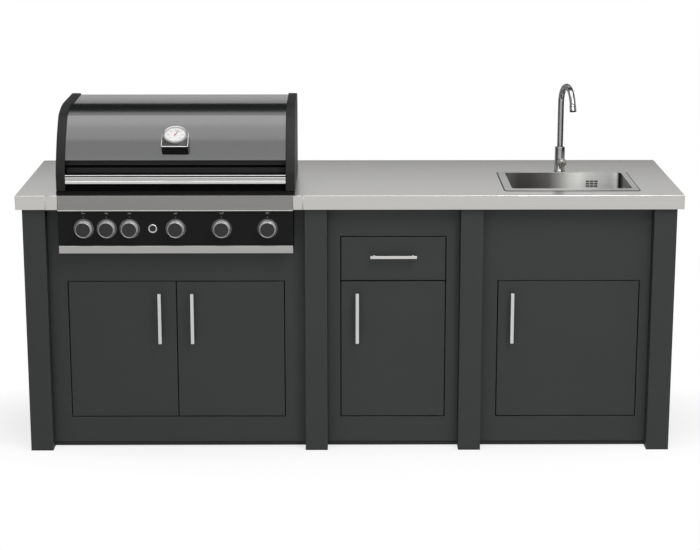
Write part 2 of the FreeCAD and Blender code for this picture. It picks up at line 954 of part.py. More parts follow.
def heat_plates():
    """Folded steel roofs over the five burner tubes, resting on the lower ledges."""
    y0 = firebox_front + firebox_wall
    y1 = firebox_back - firebox_wall - rear_burner_depth
    z0 = worktop_top - plate_ledge_drop
    half = plate_width / 2
    plates = []
    for offset in burner_offsets:
        x = grill_x + offset
        points = [
            (x - half, z0),
            (x, z0 + plate_rise),
            (x + half, z0),
            (x + half - plate_sheet, z0),
            (x, z0 + plate_rise - plate_sheet),
            (x - half + plate_sheet, z0),
        ]
        wire = Part.makePolygon([FreeCAD.Vector(px, y0, pz) for px, pz in points + points[:1]])
        plates.append(Part.Face(wire).extrude(FreeCAD.Vector(0, y1 - y0, 0)))
    return plates


def cooking_grates():
    """Cast iron grates side by side on the upper ledges."""
    x_low = firebox_left + firebox_wall + grate_gap
    x_high = firebox_right - firebox_wall - grate_gap
    width = (x_high - x_low - (grate_count - 1) * grate_gap) / grate_count
    y0 = firebox_front + firebox_wall + grate_gap
    y1 = firebox_back - firebox_wall - grate_gap
    z0 = worktop_top - grate_ledge_drop
    z1 = z0 + grate_height
    grates = []
    for index in range(grate_count):
        x0 = x_low + index * (width + grate_gap)
        x1 = x0 + width
        frame = block((x0, y0, z0), (x1, y1, z1)).cut(
            block((x0 + grate_edge, y0 + grate_edge, z0 - past), (x1 - grate_edge, y1 - grate_edge, z1 + past))
        )
        bars = [frame]
        count = int((width - 2 * grate_edge) / grate_pitch)
        pitch = (width - 2 * grate_edge) / count
        for bar in range(1, count):
            x = x0 + grate_edge + bar * pitch
            bars.append(block(
                (x - grate_bar / 2, y0 + grate_bar_inset, z0 + grate_bar_inset),
                (x + grate_bar / 2, y1 - grate_bar_inset, z1),
            ))
        grates.append(fused(bars))
    return grates


def grease_tray():
    """Shallow tray on the firebox floor."""
    x0 = firebox_left + firebox_wall + tray_side_room
    x1 = firebox_right - firebox_wall - tray_side_room
    y0 = firebox_front + firebox_wall + tray_side_room
    y1 = firebox_back - firebox_wall - tray_side_room
    z0 = firebox_bottom + firebox_wall
    return tray((x0, y0, z0), (x1, y1, z0 + tray_depth), "+z", firebox_wall)


def warming_rack():
    """Rack of round rods with an eye at each corner, held on four legs that stand on the collar."""
    x0 = firebox_left + firebox_wall - rack_leg_edge - rack_rod
    x1 = firebox_right - firebox_wall + rack_leg_edge + rack_rod
    y1 = hood_axis_y - rack_behind_pivot
    y0 = y1 - rack_depth
    z = collar_top + rack_height
    rods = []
    legs = []
    for y in (y0, y1):
        rods.append(rod((x0, y, z), (1, 0, 0), rack_rod, x1 - x0))
        for x in (x0, x1):
            rods.append(rod((x, y, z - rack_rod), (0, 0, 1), rack_eye_radius, 2 * rack_rod))
            legs.append(rod((x, y, collar_top), (0, 0, 1), rack_rod, rack_height + rack_rod))
    for x in (x0, x1):
        rods.append(rod((x, y0, z), (0, 1, 0), rack_rod, rack_depth))
    step = (x1 - x0) / (rack_rod_count + 1)
    for index in range(1, rack_rod_count + 1):
        rods.append(rod((x0 + index * step, y0, z), (0, 1, 0), rack_rod, rack_depth))
    rack = fused(rods)
    for leg in legs:
        rack = rack.cut(leg)
    return [rack] + legs


def gas_manifold():
    """Gas pipe with six valves and stems, and the inlet pipe that runs under the firebox to the back."""
    main = rod(
        (grill_x - manifold_half_length, manifold_y, knob_height),
        (1, 0, 0),
        manifold_radius,
        2 * manifold_half_length,
    )
    parts = [main]
    valve_front = control_front + trim_sheet
    stem_front = control_front - knob_length + stem_end_room
    for offset in knob_offsets:
        x = grill_x + offset
        parts.append(rod((x, valve_front, knob_height), (0, 1, 0), valve_radius, manifold_y - valve_front))
        parts.append(rod((x, stem_front, knob_height), (0, 1, 0), stem_radius, manifold_y - stem_front))
    x = grill_x + inlet_offset
    corner = (x, manifold_y, inlet_run_height)
    inlet = fused([
        rod(corner, (0, 0, 1), inlet_radius, knob_height - inlet_run_height),
        Part.makeSphere(inlet_radius, FreeCAD.Vector(*corner)),
        rod(corner, (0, 1, 0), inlet_radius, back_panel_back - manifold_y),
        rod((x, back_panel_back, inlet_run_height), (0, 1, 0), inlet_thread_radius, inlet_thread_length),
    ])
    return [fused(parts), inlet.cut(main)]


def knob_bezels():
    """Rings behind the six knobs and the sleeve of the igniter button."""
    rings = []
    hole = stem_radius + stem_hole_play
    for offset in knob_offsets:
        start = (grill_x + offset, control_front - bezel_thickness, knob_height)
        plate = rod(start, (0, 1, 0), bezel_radius, bezel_thickness)
        edges = [e for e in plate.Edges if abs(e.BoundBox.YMax - start[1]) < same_place]
        plate = plate.makeChamfer(bezel_chamfer, edges)
        rings.append(plate.cut(rod(start, (0, 1, 0), hole, bezel_thickness)))
    x = grill_x + igniter_offset
    bore = igniter_radius + igniter_play
    ring = rod((x, control_front - bezel_thickness, knob_height), (0, 1, 0), igniter_ring_radius, bezel_thickness)
    sleeve = rod((x, control_front, knob_height), (0, 1, 0), bore + igniter_sleeve, igniter_sleeve_length)
    length = bezel_thickness + igniter_sleeve_length
    bore_cut = rod((x, control_front - bezel_thickness, knob_height), (0, 1, 0), bore, length)
    rings.append(fused([ring, sleeve]).cut(bore_cut))
    return rings


def knob(offset):
    """Tapered knob with a raised rim round its face, bored for the valve stem."""
    x = grill_x + offset
    base = control_front - bezel_thickness - knob_gap
    face = control_front - knob_length
    length = base - face
    shape = Part.makeCone(
        knob_base_radius, knob_face_radius, length,
        FreeCAD.Vector(x, base, knob_height), FreeCAD.Vector(0, -1, 0),
    )
    sink = rod((x, face, knob_height), (0, 1, 0), knob_face_radius - knob_rim, knob_face_sink)
    stem_front = face + stem_end_room
    bore = rod((x, stem_front - past, knob_height), (0, 1, 0), stem_radius + stem_play, base - stem_front + past)
    return shape.cut(sink).cut(bore)


def igniter_button():
    """Round push button in its sleeve."""
    face = control_front - bezel_thickness - igniter_travel
    length = control_front + igniter_tail - face
    return rod((grill_x + igniter_offset, face, knob_height), (0, 1, 0), igniter_radius, length)


def hood_point(x, depth, height):
    """Point of the hood's side outline, from its front lower corner."""
    return FreeCAD.Vector(x, hood_front + depth, hood_bottom + height)


def hood_face(x, inset):
    """Side face of the hood inside an even inset, closed along its lower edge."""
    def at(pair):
        return hood_point(x, pair[0], pair[1])
    arc_middle = hood_rear_radius * (1 - math.sqrt(0.5))
    lower = Part.Arc(at((0, hood_nose)), at(hood_lower_bulge), at(hood_crease))
    upper = Part.Arc(at(hood_crease), at(hood_upper_bulge), at((hood_flat_start, hood_height)))
    rear = Part.Arc(
        at((hood_depth - hood_rear_radius, hood_height)),
        at((hood_depth - arc_middle, hood_height - arc_middle)),
        at((hood_depth, hood_height - hood_rear_radius)),
    )
    edges = [
        Part.LineSegment(at((0, 0)), at((0, hood_nose))).toShape(),
        lower.toShape(),
        upper.toShape(),
        Part.LineSegment(
            at((hood_flat_start, hood_height)), at((hood_depth - hood_rear_radius, hood_height))
        ).toShape(),
        rear.toShape(),
        Part.LineSegment(at((hood_depth, hood_height - hood_rear_radius)), at((hood_depth, 0))).toShape(),
        Part.LineSegment(at((hood_depth, 0)), at((0, 0))).toShape(),
    ]
    wire = Part.Wire(edges)
    if inset:
        wire = wire.makeOffset2D(-inset, 2)
    return Part.Face(wire)


def hood_solid(x0, x1, inset):
    """Hood outline inside an inset, run from one side to the other, open downwards if inset."""
    shape = hood_face(x0, inset).extrude(FreeCAD.Vector(x1 - x0, 0, 0))
    if inset:
        foot = block(
            (x0, hood_front + inset, hood_bottom - past),
            (x1, hood_front + hood_depth - inset, hood_bottom + inset + past),
        )
        shape = fused([shape, foot])
    return shape


def hood_cap(x0, x1, outer):
    """Hollow cast end cap: a side plate and a band that follows the outline."""
    shape = hood_solid(x0, x1, 0)
    if outer < 0:
        inner = hood_solid(x0 + cap_wall, x1 + past, cap_band)
        inner_x = (x0 + cap_wall, x1 + past)
    else:
        inner = hood_solid(x0 - past, x1 - cap_wall, cap_band)
        inner_x = (x0 - past, x1 - cap_wall)
    shape = shape.cut(inner)
    rear = hood_front + hood_depth
    slot_top = hood_axis_z + rear_slot
    shape = shape.cut(block(
        (inner_x[0], rear - pivot_axis_inset, hood_bottom - past), (inner_x[1], rear + past, slot_top)
    ))
    sweep = pivot_axis_height - hood_sweep_room
    corner = block(
        (x0 - past, hood_axis_y, hood_bottom - past), (x1 + past, rear + past, hood_axis_z)
    ).cut(rod((x0 - past, hood_axis_y, hood_axis_z), (1, 0, 0), sweep, x1 - x0 + 2 * past))
    shape = shape.cut(corner)
    bore = rod(
        (x0 - past, hood_axis_y, hood_axis_z), (1, 0, 0), hood_pin_radius + hood_pin_play,
        x1 - x0 + 2 * past,
    )
    return shape.cut(bore)


def hood_caps():
    """Left and right end caps of the hood."""
    return [
        hood_cap(hood_left, hood_left + cap_width, -1),
        hood_cap(hood_right - cap_width, hood_right, 1),
    ]


def hood_shell():
    """Curved steel skin between the caps, stepped back behind the handle."""
    x0 = hood_left + cap_width
    x1 = hood_right - cap_width
    step_low = (x0 - past, hood_front - past, hood_bottom - 2 * past)
    step_high = (x1 + past, hood_front + hood_recess, hood_bottom + hood_recess_height)
    inner_step_high = (x1 + past, step_high[1] + hood_sheet, step_high[2] + hood_sheet)
    outer = hood_solid(x0, x1, hood_sink).cut(block(step_low, step_high))
    floor = block(
        (x0 - past, hood_front - past, hood_bottom - 2 * past),
        (x1 + past, hood_front + hood_depth + past, hood_bottom),
    )
    inner = hood_solid(x0 - past, x1 + past, hood_sink + hood_sheet).cut(block(step_low, inner_step_high))
    rear_cut = block(
        (x0 - past, hood_axis_y - hood_sweep_room, hood_bottom - past),
        (x1 + past, hood_front + hood_depth + past, hood_axis_z + rear_slot),
    )
    return outer.cut(floor).cut(inner).cut(rear_cut)


def hood_pins():
    """Pins in the firebox ears that carry the hood."""
    length = ear_inset + ear_thickness - hood_pin_inset
    left = rod((hood_left + hood_pin_inset, hood_axis_y, hood_axis_z), (1, 0, 0), hood_pin_radius, length)
    start = hood_right - ear_inset - ear_thickness
    right = rod((start, hood_axis_y, hood_axis_z), (1, 0, 0), hood_pin_radius, length)
    return [left, right]


def hood_handle():
    """Hollow steel bar across the whole front between the caps."""
    y0 = hood_front + hood_handle_front
    z0 = hood_bottom + hood_handle_lift
    low = (hood_left + cap_width, y0, z0)
    high = (hood_right - cap_width, y0 + hood_handle_depth, z0 + hood_handle_height)
    return closed_box(low, high, hood_handle_wall)


gauge_run = gauge_back[0] - gauge_front[0]
gauge_rise = gauge_back[1] - gauge_front[1]
gauge_slant = math.hypot(gauge_run, gauge_rise)
gauge_up = (0.0, gauge_run / gauge_slant, gauge_rise / gauge_slant)
gauge_normal = (0.0, -gauge_rise / gauge_slant, gauge_run / gauge_slant)
dial_foot = moved(
    (grill_x, hood_front + gauge_front[0], hood_bottom + gauge_front[1]), gauge_up, dial_from_front
)
dial_top = moved(dial_foot, gauge_normal, case_floor)
needle_foot = moved(dial_top, gauge_normal, dial_thickness + needle_lift)
lens_foot = moved(dial_foot, gauge_normal, case_height - lens_thickness - lens_sink)


def gauge_prism(corners):
    """Solid as wide as the thermometer's block, from its corners seen from the side."""
    x0 = grill_x - gauge_width / 2
    wire = Part.makePolygon([FreeCAD.Vector(x0, y, z) for x, y, z in corners + corners[:1]])
    return Part.Face(wire).extrude(FreeCAD.Vector(gauge_width, 0, 0))


def thermometer_block():
    """Wedge on the hood that turns the dial up to the cook, round at its upper end like the dial."""
    inside = hood_depth / 2
    points = [gauge_front, gauge_back, (inside, gauge_back[1]), (inside, gauge_foot[1]), gauge_foot]
    wedge = gauge_prism([hood_point(0, depth, height) for depth, height in points])
    edges = [e for e in wedge.Edges if e.BoundBox.YMax < hood_front + gauge_foot[0] + past
             and e.BoundBox.XLength < past]
    wedge = wedge.makeFillet(gauge_corner, edges)
    low_end = moved(dial_foot, gauge_normal, -inside)
    high_end = moved(dial_foot, gauge_normal, inside)
    round_end = rod(low_end, gauge_normal, gauge_width / 2, 2 * inside)
    far_ends = [moved(end, gauge_up, -inside) for end in (high_end, low_end)]
    straight_end = gauge_prism([low_end, high_end] + far_ends)
    skin = hood_solid(grill_x - gauge_width / 2 - past, grill_x + gauge_width / 2 + past, hood_sink)
    return wedge.common(fused([round_end, straight_end])).cut(skin)


def thermometer_case():
    """Chrome case of the dial."""
    outer = rod(dial_foot, gauge_normal, case_radius, case_height)
    room = rod(dial_top, gauge_normal, case_radius - case_wall, case_height)
    bore = rod(dial_foot, gauge_normal, spindle_radius + spindle_play, case_height)
    return outer.cut(room).cut(bore)


def thermometer_dial():
    """Round dial plate in the case."""
    return tube(
        dial_top, gauge_normal, case_radius - case_wall, spindle_radius + spindle_play, dial_thickness
    )


def thermometer_needle():
    """Needle on its spindle."""
    half = needle_width / 2
    bar = block((-half, -needle_tail, 0.0), (half, needle_length, needle_thickness))
    spindle = rod((0, 0, 0), (0, 0, -1), spindle_radius, case_floor + dial_thickness + needle_lift)
    shape = fused([bar, spindle, rod((0, 0, 0), (0, 0, 1), 2 * spindle_radius, needle_thickness)])
    shape.rotate(FreeCAD.Vector(0, 0, 0), FreeCAD.Vector(0, 0, 1), -needle_angle)
    tilt = math.degrees(math.atan2(gauge_rise, gauge_run))
    shape.rotate(FreeCAD.Vector(0, 0, 0), FreeCAD.Vector(1, 0, 0), tilt)
    shape.translate(FreeCAD.Vector(*needle_foot))
    return shape


def thermometer_lens():
    """Glass over the dial."""
    return rod(lens_foot, gauge_normal, case_radius - case_wall, lens_thickness)


def sink_bowl():
    """Pressed steel bowl with a flat rim on the worktop, a waste hole and overflow slots."""
    rim = rounded_block(
        (rim_left, rim_front, worktop_top),
        (rim_right, rim_back, worktop_top + rim_thickness),
        rim_corner,
    )
    outer = rounded_block(
        (bowl_x0 - bowl_wall, bowl_y0 - bowl_wall, bowl_bottom - bowl_wall),
        (bowl_x1 + bowl_wall, bowl_y1 + bowl_wall, worktop_top),
        bowl_corner + bowl_wall,
    )
    inner = rounded_block(
        (bowl_x0, bowl_y0, bowl_bottom),
        (bowl_x1, bowl_y1, worktop_top + rim_thickness + past),
        bowl_corner,
    )
    outer = floor_fillet(outer, bowl_floor_radius + bowl_wall)
    inner = floor_fillet(inner, bowl_floor_radius)
    shape = fused([rim, outer]).cut(inner)
    hole_start = (drain_x, drain_y, bowl_bottom - bowl_wall - past)
    shape = shape.cut(rod(hole_start, (0, 0, 1), drain_radius, bowl_wall + 2 * past))
    centre_x = bowl_x0 + overflow_offset
    centre_z = worktop_top - overflow_drop
    for row in range(overflow_grid[0]):
        for column in range(overflow_grid[1]):
            x = centre_x + (column - (overflow_grid[1] - 1) / 2) * overflow_pitch[0]
            z = centre_z + (row - (overflow_grid[0] - 1) / 2) * overflow_pitch[1]
            shape = shape.cut(block(
                (x - overflow_slot[0] / 2, bowl_y1 - past, z - overflow_slot[1] / 2),
                (x + overflow_slot[0] / 2, bowl_y1 + bowl_wall + past, z + overflow_slot[1] / 2),
            ))
    return shape


def floor_fillet(shape, radius):
    """Round the lower edge all round a bowl."""
    low = shape.BoundBox.ZMin
    edges = [e for e in shape.Edges if e.BoundBox.ZMax < low + same_place]
    return shape.makeFillet(radius, edges)


drain_seat = bowl_bottom
trap_top = bowl_bottom - bowl_wall - trap_drop
outlet_x = drain_x + outlet_side
outlet_z = trap_top - outlet_drop


def outlet_run(radius):
    """Round run from the trap sideways, clear of the water hoses, and then to the back panel."""
    corner = (outlet_x, drain_y, outlet_z)
    return [
        rod((drain_x, drain_y, outlet_z), (1, 0, 0), radius, outlet_side),
        Part.makeSphere(radius, FreeCAD.Vector(*corner)),
        rod(corner, (0, 1, 0), radius, back_panel_back - drain_y),
    ]


def sink_waste():
    """Waste fitting and its nut, clamped in the bowl, and the bottle trap with its outlet pipe."""
    down = (0, 0, -1)
    flange = rod((drain_x, drain_y, drain_seat), (0, 0, 1), drain_flange_radius, drain_flange)
    throat_length = bowl_wall + drain_nut_height
    throat = rod((drain_x, drain_y, drain_seat), down, drain_radius - drain_play, throat_length)
    nut_start = (drain_x, drain_y, drain_seat - bowl_wall)
    nut = tube(nut_start, down, drain_nut_radius, drain_radius - drain_play, drain_nut_height)
    tail_top = drain_seat - bowl_wall - drain_nut_height
    tail = rod((drain_x, drain_y, tail_top), down, tail_radius, tail_top - trap_top)
    trap = rod((drain_x, drain_y, trap_top), down, trap_radius, trap_height)
    sleeve_start = (outlet_x, back_panel_back, outlet_z)
    sleeve = rod(sleeve_start, (0, 1, 0), tail_radius + outlet_sleeve, outlet_length)
    tail_bore = tail_radius - pipe_wall
    throat_bore = drain_radius - drain_play - bowl_wall
    dish = Part.makeCone(
        throat_bore, drain_radius, drain_dish,
        FreeCAD.Vector(drain_x, drain_y, drain_seat + drain_flange - drain_dish), FreeCAD.Vector(0, 0, 1),
    )
    room_start = (drain_x, drain_y, tail_top + pipe_wall)
    room = rod(room_start, (0, 0, 1), throat_bore, throat_length - pipe_wall)
    outlet = rod((drain_x, drain_y, tail_top), (0, 0, 1), tail_bore, throat_length)
    fitting = fused([flange, throat]).cut(dish).cut(room).cut(outlet)
    hollows = fused([
        rod((drain_x, drain_y, tail_top), down, tail_bore, tail_top - trap_top + pipe_wall),
        rod((drain_x, drain_y, trap_top - pipe_wall), down, trap_radius - pipe_wall, trap_height - 2 * pipe_wall),
        rod((outlet_x, back_panel_back, outlet_z), (0, 1, 0), tail_bore, outlet_length),
    ] + outlet_run(tail_bore))
    trap = fused([tail, trap, sleeve] + outlet_run(tail_radius)).cut(hollows)
    return [fitting, nut, trap]


def faucet_body():
    """Upright mixer body with its base ring, threaded shank and clamping nut."""
    base = (faucet_x, faucet_y, worktop_top)
    top = worktop_top + faucet_body_height
    parts = [
        rod(base, (0, 0, 1), faucet_ring_radius, faucet_ring_height),
        rod(base, (0, 0, 1), faucet_body_radius, faucet_body_height),
        rod(base, (0, 0, -1), faucet_shank_radius, faucet_shank_length),
        rod((faucet_x, faucet_y, underside), (0, 0, -1), faucet_nut_radius, faucet_nut_height),
        rod((faucet_x, faucet_y, hub_z), hub_direction, hub_boss_radius, hub_boss_end),
    ]
    shape = fused(parts)
    seat = rod((faucet_x, faucet_y, top - spout_seat), (0, 0, 1), spout_radius + spout_play, spout_seat + past)
    start = moved((faucet_x, faucet_y, hub_z), hub_direction, hub_bore_start)
    bore = rod(start, hub_direction, hub_bore + hub_play, hub_boss_end)
    shape = shape.cut(seat).cut(bore)
    for side in (-1, 1):
        x = faucet_x + side * water_inlet_spacing / 2
        low = (x, faucet_y, worktop_top - faucet_shank_length)
        shape = shape.cut(rod(low, (0, 0, 1), water_inlet_radius, water_inlet_depth))
    return shape


def faucet_spout():
    """Gooseneck pipe that turns in the body, with the aerator on its end."""
    base = FreeCAD.Vector(faucet_x, faucet_y, spout_bottom)
    bend_z = worktop_top + faucet_body_height + spout_rise
    along = FreeCAD.Vector(*spout_direction)
    up = FreeCAD.Vector(0, 0, 1)
    bend_start = FreeCAD.Vector(faucet_x, faucet_y, bend_z)

    def on_bend(angle):
        turned = math.radians(angle)
        return bend_start + along * (spout_bend * (1 - math.cos(turned))) + up * (spout_bend * math.sin(turned))

    end = on_bend(spout_turn)
    last = math.radians(spout_turn)
    heading = along * math.sin(last) + up * math.cos(last)
    tip = end + heading * spout_end
    path = Part.Wire([
        Part.LineSegment(base, bend_start).toShape(),
        Part.Arc(bend_start, on_bend(spout_turn / 2), end).toShape(),
        Part.LineSegment(end, tip).toShape(),
    ])
    outer = Part.Wire([Part.Circle(base, up, spout_radius).toShape()])
    inner = Part.Wire([Part.Circle(base, up, spout_radius - spout_wall).toShape()])
    pipe = path.makePipeShell([outer], True, False).cut(path.makePipeShell([inner], True, False))
    aerator = Part.makeCylinder(aerator_radius, aerator_length, tip, heading).cut(
        Part.makeCylinder(aerator_bore, aerator_length, tip, heading)
    )
    return [pipe, aerator]


ball_centre = moved((faucet_x, faucet_y, hub_z), hub_direction, ball_distance)


def faucet_collar():
    """Cartridge stem that turns in the body and cups the lever's ball."""
    stem_start = hub_bore_start + hub_stem_room
    start = moved((faucet_x, faucet_y, hub_z), hub_direction, stem_start)
    cup_lap = 2 * hub_play
    stem = rod(start, hub_direction, hub_bore, hub_boss_end + cup_lap - stem_start)
    cup_start = moved((faucet_x, faucet_y, hub_z), hub_direction, hub_boss_end + hub_play)
    cup = rod(cup_start, hub_direction, hub_boss_radius, collar_end - hub_boss_end - hub_play)
    ball = Part.makeSphere(ball_radius + hub_play, FreeCAD.Vector(*ball_centre))
    return fused([stem, cup]).cut(ball)


def faucet_lever():
    """Ball of the lever with its short rod."""
    pitch = math.radians(lever_pitch)
    direction = [component * math.cos(pitch) for component in hub_direction]
    direction[2] = math.sin(pitch)
    ball = Part.makeSphere(ball_radius, FreeCAD.Vector(*ball_centre))
    stick = rod(ball_centre, direction, lever_radius, ball_radius + lever_length)
    return fused([ball, stick])


nodes = {
    "front_posts": post_group(post_front),
    "rear_posts": post_group(rear_posts_front),
    "post_feet": post_feet(),
    "cabinet_sides": cabinet_sides(),
    "back_panels": back_panels(),
    "floor_panels": floor_panels(),
    "plinths": plinths(),
    "front_panel_grill": [front_panel_grill()],
    "front_panel_drawer": [front_panel(1)],
    "front_panel_sink": [front_panel(2)],
    "rails": rails(),
    "worktop_left": [worktop_tray(left_end, seam_left, True, False)],
    "worktop_grill": [worktop_grill()],
    "worktop_sink": [worktop_sink()],
    "door_pivots": door_pivots(),
    "door_catches": door_catches(),
    "drawer_front": [drawer_front()],
    "drawer_handle": drawer_handle(),
    "drawer_box": [drawer_box()],
    "drawer_runners": drawer_runners(),
    "grill_trims": grill_trims(),
    "control_panel": [control_panel()],
    "firebox": firebox(),
    "burners": burners(),
    "heat_plates": heat_plates(),
    "cooking_grates": cooking_grates(),
    "grease_tray": [grease_tray()],
    "warming_rack": warming_rack(),
    "gas_manifold": gas_manifold(),
    "knob_bezels": knob_bezels(),
    "igniter_button": [igniter_button()],
    "hood_shell": [hood_shell()],
    "hood_caps": hood_caps(),
    "hood_pins": hood_pins(),
    "hood_handle": [hood_handle()],
    "thermometer_block": [thermometer_block()],
    "thermometer_case": [thermometer_case()],
    "thermometer_dial": [thermometer_dial()],
    "thermometer_needle": [thermometer_needle()],
    "thermometer_lens": [thermometer_lens()],
    "sink_bowl": [sink_bowl()],
    "sink_waste": sink_waste(),
    "faucet_body": [faucet_body()],
    "faucet_spout": faucet_spout(),
    "faucet_collar": [faucet_collar()],
    "faucet_lever": [faucet_lever()],
}
for name in doors:
    nodes[name] = [door_leaf(name)]
for name in door_handles:
    nodes[name] = door_handle(name)
for number, offset in enumerate(knob_offsets, 1):
    nodes["knob_" + str(number)] = [knob(offset)]

os.makedirs("parts", exist_ok=True)
for name, solids in nodes.items():
    shape = solids[0] if len(solids) == 1 else Part.makeCompound(solids)
    if not shape.isValid():
        raise RuntimeError(name + " isn't a valid shape")
    shape.exportStep(os.path.join("parts", name + ".step"))
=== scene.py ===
import json
import math

import bmesh
import bpy
from mathutils import Matrix, Vector

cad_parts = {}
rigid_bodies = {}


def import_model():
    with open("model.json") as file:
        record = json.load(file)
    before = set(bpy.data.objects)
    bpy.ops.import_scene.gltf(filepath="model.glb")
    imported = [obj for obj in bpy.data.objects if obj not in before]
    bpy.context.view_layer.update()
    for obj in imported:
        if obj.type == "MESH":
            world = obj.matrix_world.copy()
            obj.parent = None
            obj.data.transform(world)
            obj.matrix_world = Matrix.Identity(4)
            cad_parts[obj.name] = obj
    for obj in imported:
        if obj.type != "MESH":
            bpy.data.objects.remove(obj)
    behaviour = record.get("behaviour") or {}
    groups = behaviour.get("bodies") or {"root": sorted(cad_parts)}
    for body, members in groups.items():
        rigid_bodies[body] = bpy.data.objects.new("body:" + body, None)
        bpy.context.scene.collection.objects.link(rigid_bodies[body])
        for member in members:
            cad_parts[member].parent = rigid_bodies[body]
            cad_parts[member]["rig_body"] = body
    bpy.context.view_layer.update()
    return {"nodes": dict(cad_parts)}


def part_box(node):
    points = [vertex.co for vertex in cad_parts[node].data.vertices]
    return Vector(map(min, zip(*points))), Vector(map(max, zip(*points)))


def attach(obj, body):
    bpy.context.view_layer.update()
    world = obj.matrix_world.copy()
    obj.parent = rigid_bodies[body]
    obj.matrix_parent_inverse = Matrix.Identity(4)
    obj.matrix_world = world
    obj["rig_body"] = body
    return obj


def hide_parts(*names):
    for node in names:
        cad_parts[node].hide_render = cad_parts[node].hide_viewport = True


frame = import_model()
nodes = frame["nodes"]

# Photo studio: a white sweep for a floor, two wide softboxes overhead, two in front, one behind and a narrow
# one over the sink. The camera stands seven metres off and looks down, as in the photograph.

mm = 0.001


def to_linear(hex_colour):
    """Linear colour of an sRGB hex value."""
    shares = [int(hex_colour[place:place + 2], 16) / 255 for place in (1, 3, 5)]
    return tuple(s / 12.92 if s <= 0.04045 else ((s + 0.055) / 1.055) ** 2.4 for s in shares) + (1.0,)


def add_node(tree, kind, settings={}, links={}):
    """Add a node. A setting is an input or property, and a link joins an input to an output."""
    node = tree.nodes.new(kind)
    for name, value in settings.items():
        if isinstance(name, int) or name in node.inputs:
            node.inputs[name].default_value = value
        else:
            setattr(node, name, value)
    for name, source in links.items():
        tree.links.new(node.inputs[name], source)
    return node


def new_material(name):
    """An empty material and its node tree."""
    material = bpy.data.materials.new(name)
    material.use_nodes = True
    material.node_tree.nodes.clear()
    return material, material.node_tree


def add_object(name, data):
    """Put new data in the scene as an object."""
    made = bpy.data.objects.new(name, data)
    bpy.context.scene.collection.objects.link(made)
    return made


lens = 99.4
camera_place = (-0.0371, -6.9585, 2.2542)
camera_tilt = 13.58
camera_turn = -0.32
camera_data = bpy.data.cameras.new("camera")
camera_data.lens = lens
camera_data.sensor_width = 36.0
camera = add_object("camera", camera_data)
camera.location = camera_place
camera.rotation_euler = (math.radians(90 - camera_tilt), 0.0, math.radians(camera_turn))
bpy.context.scene.camera = camera
bpy.context.scene.view_settings.view_transform = "Standard"

softboxes = {
    "overhead_rear_softbox": ((0.0, -0.52, 4.37), (0.0, -0.4, 0.9), (5.2, 1.2), 3.3),
    "overhead_front_softbox": ((0.0, -1.7, 4.23), (0.0, -1.0, 0.9), (5.2, 1.2), 2.5),
    "upper_front_softbox": ((0.0, -3.6, 4.0), (0.0, -0.2, 1.0), (5.2, 2.2), 1.75),
    "lower_front_softbox": ((0.0, -5.6, 2.6), (0.0, 0.0, 0.9), (7.6, 3.8), 0.72),
    "rear_softbox": ((0.0, 3.2, 5.2), (0.0, 0.0, 0.9), (4.6, 2.0), 1.2),
    "sink_strip_softbox": ((1.08, -2.0, 2.7), (0.85, 0.0, 0.85), (0.45, 1.2), 16.0),
}
for name, (centre, aim, size, radiance) in softboxes.items():
    light = bpy.data.lights.new(name, "AREA")
    light.shape = "RECTANGLE"
    light.size, light.size_y = size
    light.energy = radiance * math.pi * size[0] * size[1]
    lamp = add_object(name, light)
    lamp.location = centre
    lamp.rotation_euler = (Vector(aim) - Vector(centre)).to_track_quat("-Z", "Y").to_euler()
    lamp.visible_camera = False

rear_horizon_colour = "#f2f2f2"
front_horizon_colour = "#8c8c8c"
ceiling_colour = "#404040"
horizon_band = (0.4, 0.55)
front_to_rear = (-0.6, 0.3)
room_strength = 0.9
world = bpy.data.worlds.new("studio")
world.use_nodes = True
tree = world.node_tree
tree.nodes.clear()
direction = add_node(tree, "ShaderNodeTexCoord")
split = add_node(tree, "ShaderNodeSeparateXYZ", links={0: direction.outputs["Generated"]})
height = add_node(tree, "ShaderNodeMapRange", {"From Min": horizon_band[0], "From Max": horizon_band[1]},
                  {"Value": split.outputs["Z"]})
depth = add_node(tree, "ShaderNodeMapRange", {"From Min": front_to_rear[0], "From Max": front_to_rear[1]},
                 {"Value": split.outputs["Y"]})
horizon = add_node(tree, "ShaderNodeMix", {"data_type": "RGBA", 6: to_linear(front_horizon_colour),
                   7: to_linear(rear_horizon_colour)}, {0: depth.outputs[0]})
sky = add_node(tree, "ShaderNodeMix", {"data_type": "RGBA", 7: to_linear(ceiling_colour)},
               {0: height.outputs[0], 6: horizon.outputs[2]})
room = add_node(tree, "ShaderNodeBackground", {"Strength": room_strength}, {"Color": sky.outputs[2]})
backdrop = add_node(tree, "ShaderNodeBackground", {"Color": (1.0, 1.0, 1.0, 1.0), "Strength": 1.0})
rays = add_node(tree, "ShaderNodeLightPath")
shown = add_node(tree, "ShaderNodeMixShader",
                 links={0: rays.outputs["Is Camera Ray"], 1: room.outputs[0], 2: backdrop.outputs[0]})
add_node(tree, "ShaderNodeOutputWorld", links={"Surface": shown.outputs[0]})
bpy.context.scene.world = world

